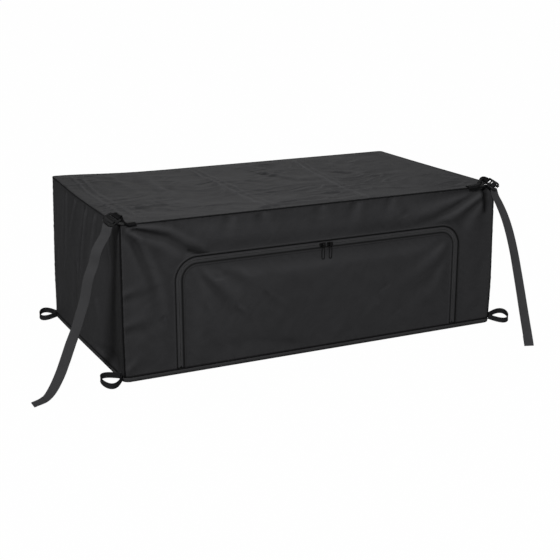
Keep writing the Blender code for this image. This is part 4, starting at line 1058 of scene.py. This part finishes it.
# %% The floor and its band
def ring_skin(name, rows, coat, filled=False):
    """A skin over closed rings, the first being the highest, with the last one filled or open."""
    rings = np.stack(rows)
    count = rings.shape[1]
    down = along_line(rings[:, 0])
    uv = np.stack([np.tile(along_line(rings[0]), (len(rings), 1)),
                   np.tile(down[:, None], (1, count))], axis=-1)
    made = row_mesh(name, rings, uv, close_across=True)
    shape = bmesh.new()
    shape.from_mesh(made.data)
    if filled:
        low = min(v.co.z for v in shape.verts) + 0.0001
        rim = [e for e in shape.edges if e.is_boundary and all(v.co.z < low for v in e.verts)]
        bmesh.ops.contextual_create(shape, geom=rim)
    bmesh.ops.recalc_face_normals(shape, faces=shape.faces)
    side = max(shape.faces, key=lambda f: f.calc_center_median().x)
    if side.normal.x < 0:
        bmesh.ops.reverse_faces(shape, faces=shape.faces)
    shape.to_mesh(made.data)
    shape.free()
    made.data.materials.append(coat)
    return settled(solid_cloth(made))


floor_rows = [even_ring(0.0, BASE_EDGE_R + 0.0003)]
for turn in np.radians((0, 22, 45, 67, 90)):
    floor_rows.append(even_ring(BASE_EDGE_R * (1 - cos(turn)), BASE_EDGE_R * (1 - sin(turn))))
floor_rows.append(even_ring(0.025, 0.0))
base_floor = ring_skin("base_panel_cloth", floor_rows, cloth, filled=True)
band_rows = [even_ring(0.0010, BASE_SEAM_Z)]
for z, out in ((0.0135, 0.0002), (0.0110, 0.0006), (0.0080, 0.0007), (0.0055, 0.0003), (0.0041, -0.0002)):
    band_rows.append(even_ring(-out, z))
base_strip = ring_skin("base_band_cloth", band_rows, band_cloth)
for piece, node in ((base_floor, "base_panel"), (base_strip, "base_band")):
    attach(piece, "bag")
    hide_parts(node)
    print(piece.name, len(piece.data.polygons), "faces")

# %% [markdown]
# ## Piping
# A thin covered cord is sewn into each seam. It is a tube along the seam, a little uneven where
# the thread pulls it in.

# %% Piping tubes
def tube(name, points, radius, closed, sides=10, wobble=0.00018, shade=1.0):
    """A round tube along points, with a slightly uneven radius; shade over 1 paints light on it."""
    if closed:
        heading = unit(np.roll(points, -1, axis=0) - np.roll(points, 1, axis=0))
    else:
        heading = unit(np.gradient(points, axis=0))
    up = np.tile((0.0, 0.0, 1.0), (len(points), 1))
    upright = np.abs(heading[:, 2]) > 0.7
    up[upright] = (1.0, 0.0, 0.0)
    first = unit(np.cross(heading, up))
    second = np.cross(heading, first)
    run = along_line(points)
    uneven = radius + wobble * crumple(run, run * 0, 0.008, 7.0)
    angles = np.linspace(0, 2 * pi, sides + 1)[:-1]
    rows = np.stack([points + (first * cos(t) + second * sin(t)) * uneven[:, None] for t in angles], axis=1)
    uv = np.stack([np.stack([run, np.full(len(run), t * radius)], axis=-1) for t in angles], axis=1)
    if closed:
        rows, uv = np.concatenate([rows, rows[:1]]), np.concatenate([uv, uv[:1]])
    return facing_out(row_mesh(name, rows, uv, close_across=True, caps=not closed, seam=shade))


PIPING_INSET = 0.001
CORNERS = {"front": "front_right", "right": "back_right", "back": "back_left", "left": "front_left"}
top_line, base_line = even_ring(PIPING_INSET, SEAM_Z, TOP_CORNER_R), even_ring(PIPING_INSET, BASE_SEAM_Z)
pipings = {
    # Painted light: the top cord is drawn 1.8 times lighter than the other cords, which are the same cord
    "top_piping": tube("top_piping_cord", top_line, PIPING_R, True, shade=1.8),
    "base_piping": tube("base_piping_cord", base_line, PIPING_R, True),
}
heights = np.linspace(BASE_SEAM_Z, SEAM_Z, 110)
for side, corner in CORNERS.items():
    seam, _ = wall_skin(side, np.full(len(heights), 2.0), heights)
    inward = seam * (-1, -1, 0)
    seam = seam + unit(inward) * PIPING_INSET
    pipings["corner_piping_" + corner] = tube("corner_piping_cord_" + corner, seam, PIPING_R * 1.25, False)
for node, cord in pipings.items():
    cord.data.materials.append(piping_cloth)
    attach(cord, "bag")
    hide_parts(node)
print("pipings:", len(pipings))

# %% [markdown]
# ## Zip
# Two woven tapes are sewn behind the cloth's hems. Each carries a row of coil teeth on its inner
# edge. The teeth repeat hundreds of times along a path, so Geometry Nodes lay them: points are
# set along the row at the tooth's pitch, and one small tooth is turned to the row at each.

# %% Tapes
# A tape's edges beside the zip's line, and how far from it each one is lit: past that it lies
# in the shadow of its hem.
TAPE_INNER, TAPE_OUTER = 0.0005, 0.0200
TAPE_LIT = {1: 0.0075, -1: 0.0055}


def zip_tape(name, sign):
    """One tape along the zip. sign is 1 for the front's and -1 for the door's."""
    offsets = np.linspace(TAPE_INNER, TAPE_OUTER, 14)
    rows, uv = [], []
    for offset in offsets:
        line = zip_line(sign * offset, BASE_SEAM_Z + 0.001)
        rows.append(np.stack([line[:, 0], np.full(len(line), FRONT_Y + TAPE_DEPTH), line[:, 1]], axis=-1))
        uv.append(np.stack([np.full(len(line), offset), along_line(rows[-1])], axis=-1))
    lit = 1 - 0.85 * smooth((offsets - TAPE_LIT[sign]) / 0.003)
    made = row_mesh(name, np.stack(rows, axis=1), np.stack(uv, axis=1), seam=lit)
    made.data.materials.append(tape_cloth)
    return settled(solid_cloth(facing_front(made), FOLDED_THICK))


for node, sign in (("zip_tape_outer", 1), ("zip_tape_inner", -1)):
    tape = zip_tape(node + "_woven", sign)
    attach(tape, "bag")
    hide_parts(node)


# %% A line as a mesh of edges, for Geometry Nodes to follow
def wire(name, lines):
    """Polylines as loose edges."""
    verts, edges = [], []
    for line in lines:
        start = len(verts)
        verts.extend(slumped(np.asarray(line)).tolist())
        edges.extend((start + i, start + i + 1) for i in range(len(line) - 1))
    mesh = bpy.data.meshes.new(name)
    mesh.from_pydata(verts, edges, [])
    made = bpy.data.objects.new(name, mesh)
    bpy.context.scene.collection.objects.link(made)
    return made


# %% The tree that lays small bodies along a line
def beads_tree():
    """Small rounded bodies at a pitch along each line, turned to it, with named sizes."""
    tree = bpy.data.node_groups.new("bodies_along_line", "GeometryNodeTree")
    socket(tree, "INPUT", "Geometry", "NodeSocketGeometry")
    socket(tree, "INPUT", "Pitch", value=0.0024)
    socket(tree, "INPUT", "Body Size", "NodeSocketVector", (0.001, 0.001, 0.001))
    socket(tree, "INPUT", "Out", "NodeSocketVector", (0.0, -1.0, 0.0))
    socket(tree, "INPUT", "Finish", "NodeSocketMaterial")
    socket(tree, "OUTPUT", "Geometry", "NodeSocketGeometry")
    ins = tree.nodes.new("NodeGroupInput")
    outs = tree.nodes.new("NodeGroupOutput")
    curve = tree.nodes.new("GeometryNodeMeshToCurve")
    spread = tree.nodes.new("GeometryNodeCurveToPoints")
    spread.mode = "LENGTH"
    body = tree.nodes.new("GeometryNodeMeshUVSphere")
    body.inputs["Segments"].default_value = 6
    body.inputs["Rings"].default_value = 4
    body.inputs["Radius"].default_value = 1.0
    along = tree.nodes.new("FunctionNodeAlignRotationToVector")
    along.axis = "Z"
    aside = tree.nodes.new("FunctionNodeAlignRotationToVector")
    aside.axis = "X"
    aside.pivot_axis = "Z"
    lay = tree.nodes.new("GeometryNodeInstanceOnPoints")
    real = tree.nodes.new("GeometryNodeRealizeInstances")
    shade = tree.nodes.new("GeometryNodeSetShadeSmooth")
    coat = tree.nodes.new("GeometryNodeSetMaterial")
    link = tree.links.new
    link(ins.outputs["Geometry"], curve.inputs["Mesh"])
    link(curve.outputs["Curve"], spread.inputs["Curve"])
    link(ins.outputs["Pitch"], spread.inputs["Length"])
    link(spread.outputs["Points"], lay.inputs["Points"])
    link(spread.outputs["Tangent"], along.inputs["Vector"])
    link(along.outputs["Rotation"], aside.inputs["Rotation"])
    link(ins.outputs["Out"], aside.inputs["Vector"])
    link(aside.outputs["Rotation"], lay.inputs["Rotation"])
    link(body.outputs["Mesh"], lay.inputs["Instance"])
    link(ins.outputs["Body Size"], lay.inputs["Scale"])
    link(lay.outputs["Instances"], real.inputs["Geometry"])
    link(real.outputs["Geometry"], shade.inputs["Geometry"])
    link(shade.outputs["Geometry"], coat.inputs["Geometry"])
    link(ins.outputs["Finish"], coat.inputs["Material"])
    link(coat.outputs["Geometry"], outs.inputs["Geometry"])
    return tree


BEADS = beads_tree()


def beads(name, lines, pitch, size, coat, out=(0.0, -1.0, 0.0)):
    """Lays bodies of size (out of the cloth, across the line, along it) on the lines."""
    made = wire(name, lines)
    step = made.modifiers.new("bodies", "NODES")
    step.node_group = BEADS
    values = {"Pitch": pitch, "Body Size": size, "Out": out, "Finish": coat}
    for item in BEADS.interface.items_tree:
        if item.in_out == "INPUT" and item.name in values:
            step[item.identifier] = values[item.name]
    return settled(made)


# %% Coil teeth
TOOTH_PITCH, TOOTH, TOOTH_ASIDE = 0.0022, (0.0013, 0.00140, 0.0010), 0.0017
for node, sign in (("zip_chain_outer", 1), ("zip_chain_inner", -1)):
    line = zip_line(sign * TOOTH_ASIDE, BASE_SEAM_Z + 0.010, 0.003)
    row = np.stack([line[:, 0], np.full(len(line), FRONT_Y + CHAIN_DEPTH), line[:, 1]], axis=-1)
    teeth = beads(node + "_teeth", [row], TOOTH_PITCH, TOOTH, coil_plastic)
    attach(teeth, "bag")
    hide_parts(node)
    print(teeth.name, len(teeth.data.polygons), "faces")

# %% [markdown]
# ## Stitches
# Lockstitches hold every seam: a row along each hem of the zip, one beside the top seam and one
# beside the base seam, and one beside each corner. They use the same tree as the teeth.

# %% Seam stitches on the walls
STITCH_PITCH, STITCH, STITCH_OUT = 0.0036, (0.00032, 0.00040, 0.00125), 0.0002
BESIDE_TOP, BESIDE_BASE, BESIDE_CORNER, BESIDE_ZIP = 0.0065, 0.0070, 0.004, 0.0030


def wall_row(side, columns, z):
    """Points just out of a wall's skin."""
    points, _ = wall_skin(side, columns, z)
    return points + np.array(SIDES[side][1], float) * STITCH_OUT


stitch_rows = []
for side in SIDES:
    half = SIDES[side][2]
    flat = np.linspace(-0.995, 0.995, int(half * 2 / 0.004))
    for z in (SEAM_Z - BESIDE_TOP, BASE_SEAM_Z + BESIDE_BASE):
        stitch_rows.append(wall_row(side, flat, np.full(len(flat), z)))
    heights = np.linspace(BASE_SEAM_Z + 0.006, SEAM_Z - 0.006, 110)
    for sign in (-1, 1):
        inset = 1 - BESIDE_CORNER / half
        stitch_rows.append(wall_row(side, np.full(len(heights), sign * inset), heights))
seam_stitches = beads("seam_stitches", stitch_rows, STITCH_PITCH, STITCH, thread_black)

# %% Stitches beside the zip
hem_rows = []
for sign in (1, -1):
    line = zip_line(sign * (ZIP_GAP / 2 + BESIDE_ZIP), BASE_SEAM_Z + 0.004, 0.003)
    hem_rows.append(front_skin(line[:, 0], line[:, 1], 0.0009))
zip_stitches = beads("zip_stitches", hem_rows, STITCH_PITCH, STITCH, thread_black)
for stitches in (seam_stitches, zip_stitches):
    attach(stitches, "bag")
    print(stitches.name, len(stitches.data.polygons), "faces")

# %% [markdown]
# ## Tie loops
# At each foot corner a short piece of webbing stands on its edge, bent to a drop-shaped loop,
# with both ends sewn into the seam.

# %% Loops
FEET = {"front_left": (-1, -1), "front_right": (1, -1), "back_left": (-1, 1), "back_right": (1, 1)}
LOOP_WIDTH, LOOP_Z, LOOP_TURN, LOOP_ASIDE = 0.018, 0.0178, 20.0, 0.025
LOOP_REACH = {"back_left": 0.060}
LOOP_SHIFT = {"back_left": (0.0, -0.015, -0.0030)}


def tie_loop(name):
    """Webbing out from a foot and back, its side towards the back held a little higher."""
    sign_x, sign_y = FEET[name]
    turn = radians(LOOP_TURN)
    out = np.array((sign_x * cos(turn), sign_y * sin(turn), 0))
    across = np.array((-out[1], out[0], 0))
    centre = np.array((sign_x * (HALF_LENGTH - BASE_CORNER_R), sign_y * (HALF_DEPTH - BASE_CORNER_R), 0))
    root = BASE_CORNER_R - 0.001 + PIPING_R + 0.0006
    t = np.linspace(0, 1, 60)
    reach = root + LOOP_REACH.get(name, 0.070) * np.sin(pi * t)
    aside = -LOOP_ASIDE * np.sin(2 * pi * t) + 0.008 * (t - 0.5)
    points = centre + out * reach[:, None] + across * aside[:, None]
    points[:, 2] = LOOP_Z + across[1] * aside * (0.34 if sign_y < 0 else 0.22)
    points = points + LOOP_SHIFT.get(name, (0.0, 0.0, 0.0))
    upwards = np.tile((0.0, 0.0, 1.0), (len(points), 1))
    return band("foot_loop_" + name, points, upwards, LOOP_WIDTH, WEBBING, cup=0.0003, slump=True)


for name in FEET:
    loop = tie_loop(name)
    loop.data.materials.append(loop_webbing)
    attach(loop, "bag")
    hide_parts("tie_loop_" + name)
print("loops:", len(FEET))

# %% [markdown]
# ## Anchors
# A short doubled webbing is sewn on the top front edge. It rises in a bunch to the lock's hinge
# bar and folds round it, so it narrows and creases between the two.

# %% Anchor webbing
ANCHOR_WIDTH, ANCHOR_Y, ANCHOR_NARROWS, ANCHOR_CREASE = 0.025, 0.003, 0.25, 0.0007
CLEAR = 0.0003
SEWN = {"left": (0.050, 0.028), "right": (0.098, 0.072)}


def anchor(name, lock, sewn):
    """Doubled webbing from its stitches, between two distances from the bag's end, round the hinge bar."""
    sign_x = lock[2]
    place = lock_place(*lock)
    bar = np.array(place.translation)
    ahead, side, normal = np.array(place.to_3x3()).T
    outward = np.array((sign_x, 0.0, 0.0))
    flat_gap = (WEBBING + CLEAR) / 2
    turn_r = np.hypot(LOCK_BAR, LOCK_THICK) / 2 + CLEAR + WEBBING / 2
    start_z = BAG_HEIGHT + CLEAR + WEBBING / 2 + flat_gap
    ends = [np.array((sign_x * (HALF_LENGTH - x), FRONT_Y + ANCHOR_Y, start_z)) for x in sewn]
    reach = 0.5 * np.linalg.norm(bar - ends[1])
    knots = [ends[1], ends[1] + outward * reach, bar - ahead * (0.006 + reach * 0.8), bar - ahead * 0.006]
    middle = [(ends[0] + (ends[1] - ends[0]) * t, outward, 0.0) for t in np.linspace(0, 1, 9)[:-1]]
    for t in np.linspace(0, 1, 18):
        s = 1 - t
        point = s**3 * knots[0] + 3 * s * s * t * knots[1] + 3 * s * t * t * knots[2] + t**3 * knots[3]
        heading = (s * s * (knots[1] - knots[0]) + 2 * s * t * (knots[2] - knots[1])
                   + t * t * (knots[3] - knots[2]))
        middle.append((point, unit(heading), t))
    across_sewn = np.cross((0, 0, 1), outward)
    stations = []
    for point, heading, t in middle:
        across = across_sewn + (side - across_sewn) * smooth(t)
        across = unit(across - heading * np.dot(across, heading))
        lift = flat_gap + (0.9 * turn_r - flat_gap) * smooth(t)
        width = ANCHOR_WIDTH * (1 - ANCHOR_NARROWS * sin(pi * t))
        stations.append((point, across * width, np.cross(heading, across) * lift, t))
    path = [(point + lift, across, t) for point, across, lift, t in stations]
    for turn in np.linspace(2.0, -2.0, 18):
        path.append((bar + turn_r * (ahead * cos(turn) + normal * sin(turn)), side * ANCHOR_WIDTH, 1.0))
    path += [(point - lift, across, t) for point, across, lift, t in stations[::-1]]
    count = 25
    rows = np.zeros((len(path), count, 3))
    uv = np.zeros((len(path), count, 2))
    centres = np.array([p for p, _, _ in path])
    heading = unit(np.gradient(centres, axis=0))
    run = along_line(centres)
    for i, (point, across, t) in enumerate(path):
        out = np.cross(heading[i], unit(across))
        crease = ANCHOR_CREASE * sin(pi * t) if 0 < t < 1 else 0.0
        for j in range(count):
            s = j / (count - 1) - 0.5
            placed = point + across * s + out * crease * sin(s * 22 + 3 * t)
            over = max(0.0, FRONT_Y - 0.001 - placed[1]) * (1 - smooth(t / 0.5))
            rows[i, j] = placed + np.array((0, over * 0.35, -over * 0.75))
            uv[i, j] = (s * ANCHOR_WIDTH, run[i])
    made = row_mesh(name, rows, uv, slump=False)
    thick = made.modifiers.new("wall", "SOLIDIFY")
    thick.thickness = WEBBING
    thick.offset = 0
    made.data.materials.append(anchor_webbing)
    return facing_out(settled(made))


for side, lock in (("left", LEFT_LOCK), ("right", RIGHT_LOCK)):
    made = anchor("anchor_" + side, lock, SEWN[side])
    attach(made, "bag")
    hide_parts("anchor_webbing_" + side)
print("anchors: 2")

# %% [markdown]
# ## Hard pieces
# The ladder locks, zip sliders, pulls and stops have their right shapes in the CAD model, so
# their nodes stay and get a finish: moulded nylon for the locks, black lacquered metal for the zip.

# %% Finish the CAD nodes that stay
def dress(node, coat):
    """Puts a finish on a CAD node."""
    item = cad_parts[node]
    for holder in item.material_slots:
        holder.material = coat
    if not item.material_slots:
        item.data.materials.append(coat)


for side in ("left", "right"):
    dress("ladder_lock_" + side, lock_plastic)
    for node in ("zip_slider_", "zip_pull_", "zip_stop_"):
        dress(node + side, slider_metal)
print("hard pieces dressed")

# %% [markdown]
# ## Ground and light
# A pale floor, a white surround and three soft lamps. To the camera the floor is almost plain
# white, with a trace of the bag's shadow. To every other ray it is a grey that throws a little
# light back on the cloth. The surround is white to the camera too, and dim to the rest, so that
# the lamps give the light its direction.

# %% Floor
FLOOR_GREY, FLOOR_WHITE, FLOOR_Z = 0.24, 0.992, -0.0004
floor_mesh = bpy.data.meshes.new("studio_floor")
floor_mesh.from_pydata([(-30, -30, 0), (30, -30, 0), (30, 30, 0), (-30, 30, 0)], [], [(0, 1, 2, 3)])
studio_floor = bpy.data.objects.new("studio_floor", floor_mesh)
bpy.context.scene.collection.objects.link(studio_floor)
studio_floor.location.z = FLOOR_Z
white = bpy.data.materials.new("studio_white")
white.use_nodes = True
nodes, links = white.node_tree.nodes, white.node_tree.links
shader = nodes["Principled BSDF"]
shader.inputs["Base Color"].default_value = (FLOOR_GREY, FLOOR_GREY, FLOOR_GREY, 1)
shader.inputs["Roughness"].default_value = 0.9
shader.inputs["Specular IOR Level"].default_value = 0.0
glow = nodes.new("ShaderNodeEmission")
glow.inputs["Strength"].default_value = 1.0
ray = nodes.new("ShaderNodeLightPath")
mix = nodes.new("ShaderNodeMixShader")
seen = nodes.new("ShaderNodeMath")
seen.operation = "MULTIPLY"
seen.inputs[1].default_value = FLOOR_WHITE
links.new(ray.outputs["Is Camera Ray"], seen.inputs[0])
links.new(seen.outputs[0], mix.inputs[0])
links.new(shader.outputs[0], mix.inputs[1])
links.new(glow.outputs[0], mix.inputs[2])
links.new(mix.outputs[0], nodes["Material Output"].inputs["Surface"])
floor_mesh.materials.append(white)

# %% World and lamps
SURROUND_LIGHT = 0.16
world = bpy.data.worlds.new("studio")
bpy.context.scene.world = world
world.use_nodes = True
nodes, links = world.node_tree.nodes, world.node_tree.links
sky = nodes["Background"]
sky.inputs["Color"].default_value = (1, 1, 1, 1)
ray = nodes.new("ShaderNodeLightPath")
either = nodes.new("ShaderNodeMath")
either.operation = "MAXIMUM"
links.new(ray.outputs["Is Camera Ray"], either.inputs[0])
links.new(ray.outputs["Is Transmission Ray"], either.inputs[1])
level = nodes.new("ShaderNodeMapRange")
level.inputs["To Min"].default_value = SURROUND_LIGHT
level.inputs["To Max"].default_value = 1.0
links.new(either.outputs[0], level.inputs["Value"])
links.new(level.outputs["Result"], sky.inputs["Strength"])


def lamp(name, at, aim, size, power):
    """A rectangle of light, turned from its place to its aim."""
    data = bpy.data.lights.new(name, "AREA")
    data.shape = "RECTANGLE"
    data.size, data.size_y = size
    data.energy = power
    made = bpy.data.objects.new(name, data)
    bpy.context.scene.collection.objects.link(made)
    made.location = at
    made.rotation_euler = (Vector(aim) - Vector(at)).to_track_quat("-Z", "Y").to_euler()
    return made


lamp("key_front_left", (-4.0, -5.2, 5.9), (0.0, 0.0, 0.3), (1.4, 1.1), 745.0)
lamp("fill_front_right", (2.6, -2.4, 3.0), (0.2, 0.0, 0.3), (1.4, 1.0), 24.0)
lamp("back_low", (1.2, 3.6, 1.9), (0.0, 0.0, 0.45), (2.4, 0.6), 26.0)
bpy.context.scene.view_settings.view_transform = "Standard"
print("lamps: 3")
